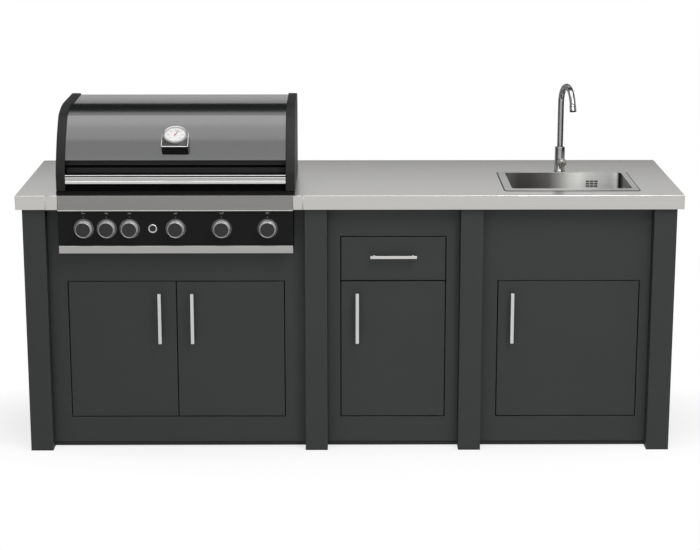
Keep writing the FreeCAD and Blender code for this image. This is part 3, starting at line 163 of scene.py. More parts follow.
# the sweep: matt white near the island, where it takes the shadow, and plain white further out
floor_half = 40.0
floor_drop = 0.5 * mm
footprint = (1.2, 0.45)
shadow_room = (0.95, 1.5)
shadow_share = 0.3
paper_colour = "#f6f6f5"
reflected_white = 0.83
material, tree = new_material("white_paper_sweep")
place = add_node(tree, "ShaderNodeTexCoord")
shrunk = add_node(tree, "ShaderNodeMapping", {"Scale": (1 / footprint[0], 1 / footprint[1], 1.0)},
                  {"Vector": place.outputs["Object"]})
distance = add_node(tree, "ShaderNodeVectorMath", {"operation": "LENGTH"}, {0: shrunk.outputs[0]})
fade = add_node(tree, "ShaderNodeMapRange", {"From Min": shadow_room[0], "From Max": shadow_room[1],
                "To Min": 1 - shadow_share, "To Max": 1.0}, {"Value": distance.outputs["Value"]})
rays = add_node(tree, "ShaderNodeLightPath")
direct = add_node(tree, "ShaderNodeMath", {"operation": "MAXIMUM"},
                  {0: rays.outputs["Is Camera Ray"], 1: rays.outputs["Is Glossy Ray"]})
seen = add_node(tree, "ShaderNodeMath", {"operation": "MAXIMUM"},
                {0: direct.outputs[0], 1: rays.outputs["Is Transmission Ray"]})
share = add_node(tree, "ShaderNodeMath", {"operation": "MULTIPLY"}, {0: seen.outputs[0], 1: fade.outputs[0]})
paper = add_node(tree, "ShaderNodeBsdfDiffuse", {"Color": to_linear(paper_colour)})
glow = add_node(tree, "ShaderNodeMapRange", {"To Min": reflected_white, "To Max": 1.0},
                {"Value": rays.outputs["Is Camera Ray"]})
white = add_node(tree, "ShaderNodeEmission", {"Color": (1.0, 1.0, 1.0, 1.0)}, {"Strength": glow.outputs[0]})
shown = add_node(tree, "ShaderNodeMixShader",
                 links={0: share.outputs[0], 1: paper.outputs[0], 2: white.outputs[0]})
add_node(tree, "ShaderNodeOutputMaterial", links={"Surface": shown.outputs[0]})
mesh = bpy.data.meshes.new("sweep")
corners = [(x * floor_half, y * floor_half, -floor_drop) for x, y in ((-1, -1), (1, -1), (1, 1), (-1, 1))]
mesh.from_pydata(corners, [], [(0, 1, 2, 3)])
mesh.materials.append(material)
sweep = add_object("sweep", mesh)

# cards out of the camera's sight: black ones at the sides give the chrome its dark edges, a low grey one
# behind the island lets the worktop darken towards its rear edge, and a dark one stands behind the hood
cards = {
    "left_card": ("#141414", ((-2.7, -2.6), (-2.7, 1.4)), (0.01, 0.92)),
    "right_card": ("#141414", ((2.7, 1.4), (2.7, -2.6)), (0.01, 0.92)),
    "rear_card": ("#8c8c8c", ((2.4, 1.3), (-2.4, 1.3)), (0.95, 1.18)),
    "hood_card": ("#1c1c1c", ((-0.12, 0.35), (-1.1, 0.35)), (1.284, 1.62)),
}
for name, (grey, ends, heights) in cards.items():
    material, tree = new_material(name + "_paint")
    fibre = add_node(tree, "ShaderNodeTexNoise", {"Scale": 300.0})
    shade = add_node(tree, "ShaderNodeMix",
                     {"data_type": "RGBA", "blend_type": "MULTIPLY", 0: 0.2, 6: to_linear(grey)},
                     {7: fibre.outputs[0]})
    card_paint = add_node(tree, "ShaderNodeEmission", links={"Color": shade.outputs[2]})
    add_node(tree, "ShaderNodeOutputMaterial", links={"Surface": card_paint.outputs[0]})
    mesh = bpy.data.meshes.new(name)
    (first_x, first_y), (last_x, last_y) = ends
    low_z, high_z = heights
    corners = [(first_x, first_y, low_z), (last_x, last_y, low_z), (last_x, last_y, high_z),
               (first_x, first_y, high_z)]
    mesh.from_pydata(corners, [], [(0, 1, 2, 3)])
    mesh.materials.append(material)
    card = add_object(name, mesh)
    card.visible_camera = False
    card.visible_diffuse = False
    card.visible_transmission = False
    card.visible_shadow = False

# Corner posts: 80 mm square steel tubes with 3 mm walls, four in front and four behind, powder coated in
# charcoal. Each stands on a flat plastic foot pushed into its lower end.


def powder_coat(name, dark, light, roughness, sheen=0.4):
    """Matt polyester powder coat: fine orange peel that spreads the light, and a slight cloudiness."""
    material, tree = new_material(name)
    place = add_node(tree, "ShaderNodeTexCoord")
    # real orange peel is about 0.8 mm across; it is drawn at 3 mm to show
    peel = add_node(tree, "ShaderNodeTexNoise", {"Scale": 330.0, "Detail": 2.0},
                    {"Vector": place.outputs["Object"]})
    cloud = add_node(tree, "ShaderNodeTexNoise", {"Scale": 4.0, "Detail": 3.0},
                     {"Vector": place.outputs["Object"]})
    colour = add_node(tree, "ShaderNodeMix", {"data_type": "RGBA", 6: to_linear(dark), 7: to_linear(light)},
                      {0: cloud.outputs[0]})
    rough = add_node(tree, "ShaderNodeMapRange", {"To Min": roughness - 0.05, "To Max": roughness + 0.05},
                     {"Value": peel.outputs[0]})
    bump = add_node(tree, "ShaderNodeBump", {"Strength": 0.25, "Distance": 0.15 * mm},
                    {"Height": peel.outputs[0]})
    shader = add_node(tree, "ShaderNodeBsdfPrincipled", {"Specular IOR Level": sheen},
                      {"Base Color": colour.outputs[2], "Roughness": rough.outputs[0],
                       "Normal": bump.outputs[0]})
    add_node(tree, "ShaderNodeOutputMaterial", links={"Surface": shader.outputs[0]})
    return material


charcoal_coat = powder_coat("powder_coated_steel_charcoal_matt", "#272929", "#2b2d2d", 0.52)


def dress(node_names, material):
    """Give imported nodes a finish."""
    for name in node_names:
        for place in range(max(1, len(nodes[name].data.materials))):
            nodes[name].data.materials[place] = material


def settle(name, mesh, material, body, replaced=()):
    """Put a finished mesh in the scene as a piece that rides on a body."""
    mesh.materials.clear()
    mesh.materials.append(material)
    piece = add_object(name, mesh)
    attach(piece, body)
    if replaced:
        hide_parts(*replaced)
    return piece


def folded(name, node_name, radius, material, shortest=8 * mm, above=None, below=None):
    """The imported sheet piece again, or its part above or below a height, with its outer folds rounded."""
    node = nodes[node_name]
    shape = bmesh.new()
    shape.from_mesh(node.data)
    if above is not None:
        bmesh.ops.delete(shape, geom=[vert for vert in shape.verts if vert.co.z < above], context="VERTS")
    if below is not None:
        bmesh.ops.delete(shape, geom=[vert for vert in shape.verts if vert.co.z > below], context="VERTS")
    bmesh.ops.remove_doubles(shape, verts=shape.verts, dist=0.01 * mm)
    bmesh.ops.dissolve_limit(shape, angle_limit=math.radians(0.6), verts=shape.verts, edges=shape.edges)
    folds = []
    for edge in shape.edges:
        if not edge.is_manifold or edge.calc_length() < shortest:
            continue
        if edge.calc_face_angle_signed() < math.radians(30):
            continue
        if min(face.calc_area() / edge.calc_length() for face in edge.link_faces) < 3 * radius:
            continue
        folds.append(edge)
    bmesh.ops.bevel(shape, geom=folds, offset=radius, offset_type="OFFSET", segments=3, profile=0.5,
                    affect="EDGES", clamp_overlap=True)
    for face in shape.faces:
        face.smooth = True
    mesh = bpy.data.meshes.new(name)
    shape.to_mesh(mesh)
    shape.free()
    replaced = () if below is not None else (node_name,)
    piece = settle(name, mesh, material, node["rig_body"], replaced)
    even = piece.modifiers.new("flat_faces", "WEIGHTED_NORMAL")
    even.weight = 100
    return piece


bend_radius = 2.0 * mm
folded("front_posts_folded", "front_posts", bend_radius, charcoal_coat)
folded("rear_posts_folded", "rear_posts", bend_radius, charcoal_coat)

# Post feet: injection moulded polypropylene plugs in satin black, one in the lower end of each post. They
# keep the steel off a wet floor.


def moulded_plastic(name, dark, light, roughness):
    """Moulded plastic: the fine spark-eroded grain of the mould gives it a dull, even sheen."""
    material, tree = new_material(name)
    place = add_node(tree, "ShaderNodeTexCoord")
    # the mould grain is about 0.1 mm; it is drawn at 1.5 mm to show
    grain = add_node(tree, "ShaderNodeTexNoise", {"Scale": 650.0, "Detail": 2.0},
                     {"Vector": place.outputs["Object"]})
    colour = add_node(tree, "ShaderNodeMix", {"data_type": "RGBA", 6: to_linear(dark), 7: to_linear(light)},
                      {0: grain.outputs[0]})
    bump = add_node(tree, "ShaderNodeBump", {"Strength": 0.2, "Distance": 0.05 * mm},
                    {"Height": grain.outputs[0]})
    shader = add_node(tree, "ShaderNodeBsdfPrincipled", {"Roughness": roughness, "IOR": 1.49},
                      {"Base Color": colour.outputs[2], "Normal": bump.outputs[0]})
    add_node(tree, "ShaderNodeOutputMaterial", links={"Surface": shader.outputs[0]})
    return material


black_plastic = moulded_plastic("polypropylene_black_moulded", "#141414", "#1b1b1b", 0.45)
dress(["post_feet"], black_plastic)

# Cabinet walls, backs and floors: trays 20 mm deep, folded from 1.5 mm steel sheet and powder coated like the
# posts. The rails under the worktop are box tubes with 2 mm walls. Pan-head screws show along the backs.

for name in ("cabinet_sides", "back_panels", "floor_panels", "rails"):
    folded(name + "_folded", name, bend_radius, charcoal_coat, 14 * mm)


def in_mm(pairs):
    """Pairs of millimetres, turned to metres."""
    return [(first * mm, second * mm) for first, second in pairs]


def lathe(shape, profile, matrix, sides=48):
    """Turn a profile of (radius, height) pairs about Z into shape, moved by matrix."""
    rings = []
    for radius, z in profile:
        if radius == 0:
            rings.append([shape.verts.new(matrix @ Vector((0, 0, z)))])
            continue
        ring = []
        for side in range(sides):
            angle = 2 * math.pi * side / sides
            corner = Vector((radius * math.cos(angle), radius * math.sin(angle), z))
            ring.append(shape.verts.new(matrix @ corner))
        rings.append(ring)
    for low, high in zip(rings, rings[1:]):
        for side in range(sides):
            after = (side + 1) % sides
            if len(low) == 1:
                shape.faces.new((low[0], high[side], high[after]))
            elif len(high) == 1:
                shape.faces.new((low[side], low[after], high[0]))
            else:
                shape.faces.new((low[side], low[after], high[after], high[side]))


def facing(place, outward):
    """Matrix that stands local Z along outward at place."""
    return Matrix.Translation(Vector(place)) @ Vector(outward).to_track_quat("Z", "Y").to_matrix().to_4x4()


def mesh_of(name, shape, sharp=35):
    """Finish a bmesh as a smooth-shaded mesh with its sharp edges kept."""
    bmesh.ops.recalc_face_normals(shape, faces=shape.faces)
    mesh = bpy.data.meshes.new(name)
    shape.to_mesh(mesh)
    shape.free()
    mesh.shade_smooth()
    mesh.set_sharp_from_angle(angle=math.radians(sharp))
    return mesh


def zinc_plate(name, dark, light, roughness):
    """Zinc plated steel: a cool grey metal with soft patches from the bath."""
    material, tree = new_material(name)
    place = add_node(tree, "ShaderNodeTexCoord")
    # the patches of the plating are about 8 mm across
    patch = add_node(tree, "ShaderNodeTexVoronoi", {"Scale": 120.0}, {"Vector": place.outputs["Object"]})
    colour = add_node(tree, "ShaderNodeMix", {"data_type": "RGBA", 6: to_linear(dark), 7: to_linear(light)},
                      {0: patch.outputs["Distance"]})
    rough = add_node(tree, "ShaderNodeMapRange", {"To Min": roughness - 0.06, "To Max": roughness + 0.08},
                     {"Value": patch.outputs["Distance"]})
    shader = add_node(tree, "ShaderNodeBsdfPrincipled", {"Metallic": 1.0},
                      {"Base Color": colour.outputs[2], "Roughness": rough.outputs[0]})
    add_node(tree, "ShaderNodeOutputMaterial", links={"Surface": shader.outputs[0]})
    return material


zinc_steel = zinc_plate("steel_zinc_plated", "#8e9193", "#b4b7b8", 0.36)
screw_head = [(0.0, -0.2), (1.6, -0.2), (1.6, 1.5), (2.4, 2.2), (3.4, 2.2), (4.3, 1.6), (4.75, 0.6),
              (4.75, -0.6)]


def screw_heads(name, places, outward, body, material):
    """A row of pan-head screws with a round socket."""
    shape = bmesh.new()
    for place in places:
        lathe(shape, in_mm(screw_head), facing(place, outward), 20)
    return settle(name, mesh_of(name, shape), material, body)


back_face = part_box("back_panels")[1].y
screw_inset = 12
screw_rows = (0.06, 0.28, 0.5, 0.72, 0.9)
post_edges = (-1070, -160, -80, 390, 470, 1070)
places = []
for edge, side in zip(post_edges, (1, -1, 1, -1, 1, -1)):
    for row in screw_rows:
        places.append(((edge + side * screw_inset) * mm, back_face, row))
screw_heads("back_panel_screws", places, (0, 1, 0), "island", zinc_steel)

# Kick boards: flat boards 12 mm thick, set 7 mm back under the fronts. Their near-black coat, darker than
# that of the posts, is painted shade under the fronts.

# painted shade: the boards are coated darker than the posts to stand in for the shade under the fronts
kick_board_painted_shade = powder_coat("powder_coat_black_painted_shade", "#161717", "#1a1b1b", 0.6)
dress(["plinths"], kick_board_painted_shade)

# Front panels: one folded sheet per bay between the posts, cut out for the doors, the drawer and the grill.
# A return is folded round each opening.

for name in ("front_panel_grill", "front_panel_drawer", "front_panel_sink"):
    folded(name + "_folded", name, bend_radius, charcoal_coat)

# Doors: hollow leaves of coated steel that lie flush in the openings with a 3 mm gap all round. Each turns on
# two pivots and closes on a magnetic catch.

for name in ("door_grill_left", "door_grill_right", "door_middle", "door_sink"):
    folded(name + "_leaf", name, 1.5 * mm, charcoal_coat)
black_zinc = zinc_plate("steel_zinc_plated_blackened", "#1c1d1e", "#262728", 0.45)
dress(["door_pivots", "door_catches"], black_zinc)

# Bar handles: bars of satin stainless steel, 12 by 10 mm on the doors and 10 mm square on the drawer. Each
# stands on two round posts and is screwed from behind.


def brushed_steel(name, dark, light, roughness, scale, streak=0.35):
    """Brushed stainless steel: hairlines along one direction stretch each reflection across them."""
    material, tree = new_material(name)
    place = add_node(tree, "ShaderNodeTexCoord")
    # the hairlines are 0.1 mm apart; they are drawn about 3 mm apart to show
    along = add_node(tree, "ShaderNodeMapping", {"Scale": scale}, {"Vector": place.outputs["Object"]})
    lines = add_node(tree, "ShaderNodeTexNoise", {"Scale": 1.0, "Detail": 3.0, "Roughness": 0.6},
                     {"Vector": along.outputs[0]})
    colour = add_node(tree, "ShaderNodeMix", {"data_type": "RGBA", 6: to_linear(dark), 7: to_linear(light)},
                      {0: lines.outputs[0]})
    rough = add_node(tree, "ShaderNodeMapRange", {"To Min": roughness - 0.01, "To Max": roughness + 0.01},
                     {"Value": lines.outputs[0]})
    bump = add_node(tree, "ShaderNodeBump", {"Strength": streak, "Distance": 0.05 * mm},
                    {"Height": lines.outputs[0]})
    shader = add_node(tree, "ShaderNodeBsdfPrincipled", {"Metallic": 1.0},
                      {"Base Color": colour.outputs[2], "Roughness": rough.outputs[0],
                       "Normal": bump.outputs[0]})
    add_node(tree, "ShaderNodeOutputMaterial", links={"Surface": shader.outputs[0]})
    return material


upright_lines = (350.0, 350.0, 6.0)
level_lines = (6.0, 350.0, 350.0)
handle_steel = brushed_steel("stainless_steel_satin_upright", "#d2d2cf", "#e4e4e2", 0.3, upright_lines, 0.15)
for name in ("handle_grill_left", "handle_grill_right", "handle_middle", "handle_sink"):
    folded(name + "_bar", name, 1.0 * mm, handle_steel)

# Drawer: a coated front flush with its opening and a folded zinc plated box behind it. A rib on each side of
# the box slides in a grooved runner.

folded("drawer_front_tray", "drawer_front", 1.5 * mm, charcoal_coat)
drawer_handle_steel = brushed_steel("stainless_steel_satin_level", "#d2d2cf", "#e4e4e2", 0.3, level_lines,
                                    0.15)
folded("drawer_handle_bar", "drawer_handle", 1.0 * mm, drawer_handle_steel)
folded("drawer_box_folded", "drawer_box", 1.0 * mm, zinc_steel)
dress(["drawer_runners"], black_zinc)

# Worktop: three lengths of 3 mm stainless sheet brushed lengthwise, folded down 50 mm along the front, and
# butted at two seams beside the grill. The fold has a soft edge that catches the light.

worktop_lines = (0.6, 260.0, 260.0)
worktop_steel = brushed_steel("stainless_steel_brushed_lengthwise", "#cbcac7", "#d5d4d1", 0.26, worktop_lines,
                              0.02)
for name in ("worktop_left", "worktop_grill", "worktop_sink"):
    folded(name + "_sheet", name, 4.5 * mm, worktop_steel)

# Grill inside: an enamelled steel firebox with five stainless burner tubes under flame plates, three cast
# iron grates, a warming rack on legs, a shallow grease tray below, and the gas manifold with its six valves.


def enamel(name, dark, light, roughness, ior, peel_height):
    """Vitreous enamel fired on steel: glassy, with a slow ripple that bends reflections."""
    material, tree = new_material(name)
    place = add_node(tree, "ShaderNodeTexCoord")
    # the ripple of the fired glass is about 15 mm across
    ripple = add_node(tree, "ShaderNodeTexNoise", {"Scale": 65.0, "Detail": 1.0},
                      {"Vector": place.outputs["Object"]})
    cloud = add_node(tree, "ShaderNodeTexNoise", {"Scale": 5.0, "Detail": 3.0},
                     {"Vector": place.outputs["Object"]})
    colour = add_node(tree, "ShaderNodeMix", {"data_type": "RGBA", 6: to_linear(dark), 7: to_linear(light)},
                      {0: cloud.outputs[0]})
    bump = add_node(tree, "ShaderNodeBump", {"Strength": 0.3, "Distance": peel_height},
                    {"Height": ripple.outputs[0]})
    shader = add_node(tree, "ShaderNodeBsdfPrincipled",
                      {"Roughness": roughness, "IOR": ior},
                      {"Base Color": colour.outputs[2], "Normal": bump.outputs[0]})
    add_node(tree, "ShaderNodeOutputMaterial", links={"Surface": shader.outputs[0]})
    return material


black_enamel = enamel("vitreous_enamel_black_matt", "#0d0d0d", "#121212", 0.6, 1.22, 0.02 * mm)
dress(["firebox"], black_enamel)
burner_steel = brushed_steel("stainless_steel_drawn_heat_tinted", "#8a8478", "#a9a6a0", 0.38,
                             (40.0, 300.0, 300.0), 0.3)
dress(["burners", "heat_plates", "grease_tray", "warming_rack"], burner_steel)
dress(["gas_manifold", "hood_pins"], zinc_steel)
cast_iron = powder_coat("cast_iron_enamelled_matt", "#101010", "#181818", 0.6)
dress(["cooking_grates"], cast_iron)

# Grill front: a folded stainless trim over a black enamelled control panel, with a plain stainless strip
# below. The trim's steel is painted darker than the strip's, as painted shade, and its lower fold carries a
# lighter bar, a painted highlight that shows as a bright line above the panel.

upward = Vector((0, 0, 1))


def straight(ends, y, z):
    """Level path along X between two ends."""
    return [Vector((x, y, z)) for x in ends]


def swept(shape, path, up, outline, closed=False):
    """Sweep an outline of (outward, height) pairs along a flat path, with outward on its right."""
    rings = []
    for place, point in enumerate(path):
        before = path[place - 1] if closed or place else point
        after = path[(place + 1) % len(path)] if closed or place + 1 < len(path) else point
        outward = (after - before).normalized().cross(up)
        rings.append([shape.verts.new(point + outward * across + up * height) for across, height in outline])
    for low, high in zip(rings, rings[1:] + rings[:1] if closed else rings[1:]):
        for side in range(len(outline)):
            after = (side + 1) % len(outline)
            shape.faces.new((low[side], low[after], high[after], high[side]))
    if not closed:
        shape.faces.new(rings[0])
        shape.faces.new(rings[-1][::-1])


trim_lines = (2.0, 260.0, 260.0)
# one steel in two copies: the darker on the upper trim is painted shade, the lighter on the strip is its lit
# copy
trim_steel_painted_shade = brushed_steel("stainless_steel_brushed_trim_painted_shade", "#8a8987", "#989795", 0.3, trim_lines, 0.12)
strip_steel = brushed_steel("stainless_steel_brushed_strip", "#afaeac", "#bdbcb9", 0.3, trim_lines, 0.12)
trim_low, trim_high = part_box("grill_trims")
between_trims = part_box("control_panel")[0].z + 60 * mm
folded("grill_trim_upper", "grill_trims", 1.5 * mm, trim_steel_painted_shade, above=between_trims)
folded("grill_trim_lower", "grill_trims", 1.5 * mm, strip_steel, below=between_trims)
# painted highlight: a lighter bar along the trim's lower fold shows as a bright line above the panel
trim_fold_painted_highlight = brushed_steel("stainless_steel_painted_highlight_edge", "#c4c4c2", "#d2d2d0", 0.2, trim_lines, 0.05)
edge_outline = [(0.0, 0.0), (1.4, -0.5), (2.0, 0.4), (2.0, 2.2), (1.4, 2.8), (0.0, 2.8)]
upper_trim_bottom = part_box("control_panel")[1].z
shape = bmesh.new()
edge_path = straight((trim_low.x + 0.5 * mm, trim_high.x - 0.5 * mm), trim_low.y + 1.8 * mm,
                     upper_trim_bottom)
swept(shape, edge_path, upward, in_mm(edge_outline))
settle("grill_trim_edge", mesh_of("grill_trim_edge", shape), trim_fold_painted_highlight, "island")
panel_enamel = enamel("vitreous_enamel_black_panel", "#111111", "#151515", 0.4, 1.2, 0.01 * mm)
dress(["control_panel"], panel_enamel)

# Knobs: die-cast zinc skirts, turned and silver lacquered, with dark pressed-in faces and a black index line
# on top. Each sits in a turned chrome bezel. The panel above it has a printed index line and a sign of five
# bars.

knob_metal = brushed_steel("die_cast_zinc_turned_chrome", "#c2c2c1", "#d6d6d5", 0.16, (300.0, 300.0, 300.0),
                           0.05)


def silver_lacquer(name, dark, light, roughness, metallic):
    """Silver lacquer over zinc: metal flakes in a clear coat, which stay pale where chrome goes dark."""
    material, tree = new_material(name)
    place = add_node(tree, "ShaderNodeTexCoord")
    # the flakes are 0.05 mm; they are drawn at 1 mm to show
    flake = add_node(tree, "ShaderNodeTexVoronoi", {"Scale": 1000.0}, {"Vector": place.outputs["Object"]})
    colour = add_node(tree, "ShaderNodeMix", {"data_type": "RGBA", 6: to_linear(dark), 7: to_linear(light)},
                      {0: flake.outputs["Distance"]})
    shader = add_node(tree, "ShaderNodeBsdfPrincipled", {"Metallic": metallic, "Roughness": roughness},
                      {"Base Color": colour.outputs[2]})
    add_node(tree, "ShaderNodeOutputMaterial", links={"Surface": shader.outputs[0]})
    return material


skirt_silver = silver_lacquer("die_cast_zinc_silver_lacquered", "#b8b8b7", "#dcdcdb", 0.3, 0.5)
face_plastic = moulded_plastic("abs_dark_grey_moulded", "#151616", "#1a1b1b", 0.4)
mark_paint = moulded_plastic("screen_print_pale_grey", "#8c8c8a", "#969694", 0.6)
# black lacquer for index lines and the aerator ring, also used as painted shade in the strainer holes and
# overflow
black_lacquer_and_hole_shade = moulded_plastic("lacquer_black_and_painted_hole_shade", "#0c0c0c", "#121212", 0.5)
button_plastic = moulded_plastic("abs_black_moulded_gloss", "#0e0e0e", "#131313", 0.2)
skirt_profile = [(8.0, 0.0), (29.4, 0.0), (30.0, 0.5), (30.0, 2.6), (29.2, 3.6), (27.0, 22.6), (26.6, 24.4),
                 (26.1, 25.1), (25.6, 25.3), (25.2, 24.9), (25.1, 23.8)]
face_profile = [(25.1, 23.8), (22.0, 24.1), (12.0, 24.4), (0.0, 24.5)]
bezel_profile = [(34.0, 0.0), (34.0, 3.5), (33.8, 4.0), (33.1, 4.0), (32.9, 3.5), (32.9, 0.0)]
sleeve_profile = [(16.0, 0.0), (16.0, 2.4), (15.4, 3.6), (14.4, 4.0), (11.4, 4.0), (10.2, 3.2), (9.6, 2.0),
                  (9.5, 0.0)]
panel_front_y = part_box("control_panel")[0].y
index_size = (1.8, 17.0, 0.7)
index_depth = 13.5
index_rise = 28.1
print_depth = 0.16
line_rise = 40.5
sign_rise = 13
bar_pitch = 2.6
short_bar = 3.4
tall_bar = 6.6
knob_names = ["knob_%d" % place for place in range(1, 7)]


def box_at(shape, centre, size, turn=Matrix.Identity(4)):
    """Add a small box to shape."""
    bmesh.ops.create_cube(shape, size=1.0,
                          matrix=Matrix.Translation(centre) @ turn @ Matrix.Diagonal((*size, 1.0)))


rings = bmesh.new()
marks = bmesh.new()
skirt_slope = Matrix.Rotation(math.atan2(29.2 - 26.9, 22.6 - 3.6), 4, "X")
for place, name in enumerate(knob_names):
    low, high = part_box(name)
    centre = (low + high) / 2
    stand = facing((centre.x, high.y, centre.z), (0, -1, 0))
    skirt = bmesh.new()
    lathe(skirt, in_mm(skirt_profile), stand, 72)
    settle(name + "_skirt", mesh_of(name + "_skirt", skirt, 50), skirt_silver, name, (name,))
    face = bmesh.new()
    lathe(face, in_mm(face_profile), stand, 72)
    settle(name + "_face", mesh_of(name + "_face", face), face_plastic, name)
    index = bmesh.new()
    index_place = (centre.x, high.y - index_depth * mm, centre.z + index_rise * mm)
    box_at(index, index_place, Vector(index_size) * mm, skirt_slope)
    settle(name + "_index", mesh_of(name + "_index", index), black_lacquer_and_hole_shade, name)
    lathe(rings, in_mm(bezel_profile), facing((centre.x, panel_front_y, centre.z), (0, -1, 0)), 72)
    line_place = Vector((centre.x, panel_front_y - 0.02 * mm, centre.z + line_rise * mm))
    box_at(marks, line_place, Vector((1.0, print_depth, 4.6)) * mm)
    sign_place = line_place + Vector((0, 0, sign_rise * mm))
    for bar in range(5):
        tall = tall_bar if bar == place else short_bar
        bar_place = sign_place + Vector(((bar - 2) * bar_pitch * mm, 0, (tall - short_bar) / 2 * mm))
        box_at(marks, bar_place, Vector((1.3, print_depth, tall)) * mm)
    if place == 5:
        box_at(marks, sign_place + Vector((0, 0, 4.4 * mm)), Vector((11.7, print_depth, 1.3)) * mm)
button_low, button_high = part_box("igniter_button")
button_centre = (button_low + button_high) / 2
lathe(rings, in_mm(sleeve_profile),
      facing((button_centre.x, panel_front_y, button_centre.z), (0, -1, 0)), 48)
settle("knob_bezel_rings", mesh_of("knob_bezel_rings", rings, 50), knob_metal, "island",
       ("knob_bezels",))
settle("burner_signs", mesh_of("burner_signs", marks), mark_paint, "island")

# Igniter: a black push button between the third and fourth knobs. Its plated sleeve is one of the bezel rings
# above.

dress(["igniter_button"], button_plastic)

# Hood: a shell rolled from one enamelled sheet between two cast aluminium end caps, hung on two pins. Its
# nose is stepped back behind the handle; the matt black lining there is painted shade, a deeper black strip
# below the handle is painted shadow, and a rope seal lies in a groove, its black deepened as painted shade.

hood_enamel = enamel("vitreous_enamel_black_gloss", "#121414", "#171919", 0.18, 1.88, 0.008 * mm)
dress(["hood_shell"], hood_enamel)
cast_coat = powder_coat("cast_aluminium_coated_satin", "#0f0f0f", "#131313", 0.55, 0.28)
folded("hood_caps_rounded", "hood_caps", 2.0 * mm, cast_coat, 3 * mm)
# painted shade: a near-black lining in the nose recess, where the hood's overhang and the handle shade it
nose_painted_shade = powder_coat("black_matt_painted_shade_nose", "#171717", "#1c1c1c", 0.65)
shell_low, shell_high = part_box("hood_shell")
recess_y = shell_low.y + 23.7 * mm
recess_bottom = 1008 * mm
recess_height = 48.0
groove = (18.0, 28.0)
recess_outline = [(0.0, 0.0), (0.9, 0.0), (0.9, groove[0]), (0.3, groove[0] + 0.4), (0.3, groove[1] - 0.4),
                  (0.9, groove[1]), (0.9, recess_height), (0.0, recess_height)]
shell_ends = (shell_low.x + 0.4 * mm, shell_high.x - 0.4 * mm)
lining = bmesh.new()
swept(lining, straight(shell_ends, recess_y, recess_bottom), upward, in_mm(recess_outline))
settle("hood_nose_painted_shade", mesh_of("hood_nose_painted_shade", lining), nose_painted_shade, "hood")
lower_outline = [(0.0, 0.0), (0.6, 0.0), (0.6, 23.0), (0.0, 23.0)]
skirting = bmesh.new()
swept(skirting, straight(shell_ends, shell_low.y, shell_low.z + 0.3 * mm), upward, in_mm(lower_outline))
# painted shadow: a deeper black strip below the handle, in the handle's shadow
under_handle_painted_shadow = powder_coat("black_deep_painted_shadow_under_handle", "#050505", "#080808", 0.8, 0.1)
settle("hood_foot_painted_shadow", mesh_of("hood_foot_painted_shadow", skirting), under_handle_painted_shadow, "hood")
seal_radius = 4.4
seal_turns = [math.radians(turn) for turn in range(0, 360, 30)]
seal_outline = [(seal_radius * math.cos(turn), seal_radius * math.sin(turn)) for turn in seal_turns]
rope = bmesh.new()
seal_height = recess_bottom + sum(groove) / 2 * mm
swept(rope, straight(shell_ends, recess_y, seal_height), upward, in_mm(seal_outline))
# the seal is black, and its near-black is deepened as painted shade in the groove
seal_black_and_groove_shade = powder_coat("rope_seal_black_and_painted_groove_shade", "#030303", "#060606", 0.9, 0.05)
settle("hood_rope_seal", mesh_of("hood_rope_seal", rope, 60), seal_black_and_groove_shade, "hood")

# Hood handle: a full-width bar of extruded and brushed stainless steel with a rolled lip, a groove and a
# hollow face. The lip's lighter steel is a painted highlight, and the black inlay in the groove paints the
# dark band the bar reflects.

hood_handle_steel = brushed_steel("stainless_steel_brushed_handle", "#b4b4b2", "#c4c4c2", 0.24, level_lines,
                                  0.1)
handle_low, handle_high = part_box("hood_handle")
handle_outline = [(0.0, 1.0), (0.0, 33.0), (1.0, 34.0), (14.0, 34.0), (16.6, 33.4), (17.6, 32.0),
                  (17.6, 30.8), (16.8, 30.0), (10.0, 29.8), (10.0, 26.0), (16.8, 25.6), (17.6, 24.6),
                  (17.0, 13.0), (17.0, 4.0), (15.6, 1.5), (13.5, 0.5), (11.0, 0.0), (1.0, 0.0)]
lip_outline = [(14.0, 2.0), (15.2, 1.2), (16.6, 1.7), (17.8, 3.6), (18.0, 5.0), (17.6, 12.2), (16.8, 12.9),
               (16.0, 12.9)]
handle = bmesh.new()
handle_path = straight((handle_low.x, handle_high.x), handle_high.y, handle_low.z)
swept(handle, handle_path, upward, in_mm(handle_outline))
settle("hood_handle_bar", mesh_of("hood_handle_bar", handle, 25), hood_handle_steel, "hood",
       ("hood_handle",))
lip = bmesh.new()
swept(lip, handle_path, upward, in_mm(lip_outline))
# painted highlight: the lip is a lighter copy of the handle's steel
lip_steel_painted_highlight = brushed_steel("stainless_steel_lip_painted_highlight", "#d6d6d4", "#e2e2e0", 0.2, level_lines, 0.05)
# painted reflection: the black inlay stands in for the dark band the bar reflects
inlay_outline = [(10.5, 26.3), (15.9, 26.3), (16.2, 26.8), (16.2, 29.0), (15.9, 29.5), (10.5, 29.5)]
inlay = bmesh.new()
swept(inlay, straight((handle_low.x + 0.5 * mm, handle_high.x - 0.5 * mm), handle_high.y, handle_low.z),
      upward, in_mm(inlay_outline))
inlay_painted_dark_reflection = moulded_plastic("rubber_inlay_black_painted_reflection", "#0a0a0a", "#0f0f0f", 0.7)
settle("hood_handle_inlay", mesh_of("hood_handle_inlay", inlay), inlay_painted_dark_reflection, "hood")
settle("hood_handle_lip", mesh_of("hood_handle_lip", lip, 40), lip_steel_painted_highlight, "hood")

# Thermometer: a satin chromed case with a white printed dial and a glass lens, tilted to the eye on a black
# cast block with a satin cover plate and a chrome bead round its edge. The block's near black is painted
# shade for its undercut front, and the grey plate on top is the lit copy of the same face, painted light.

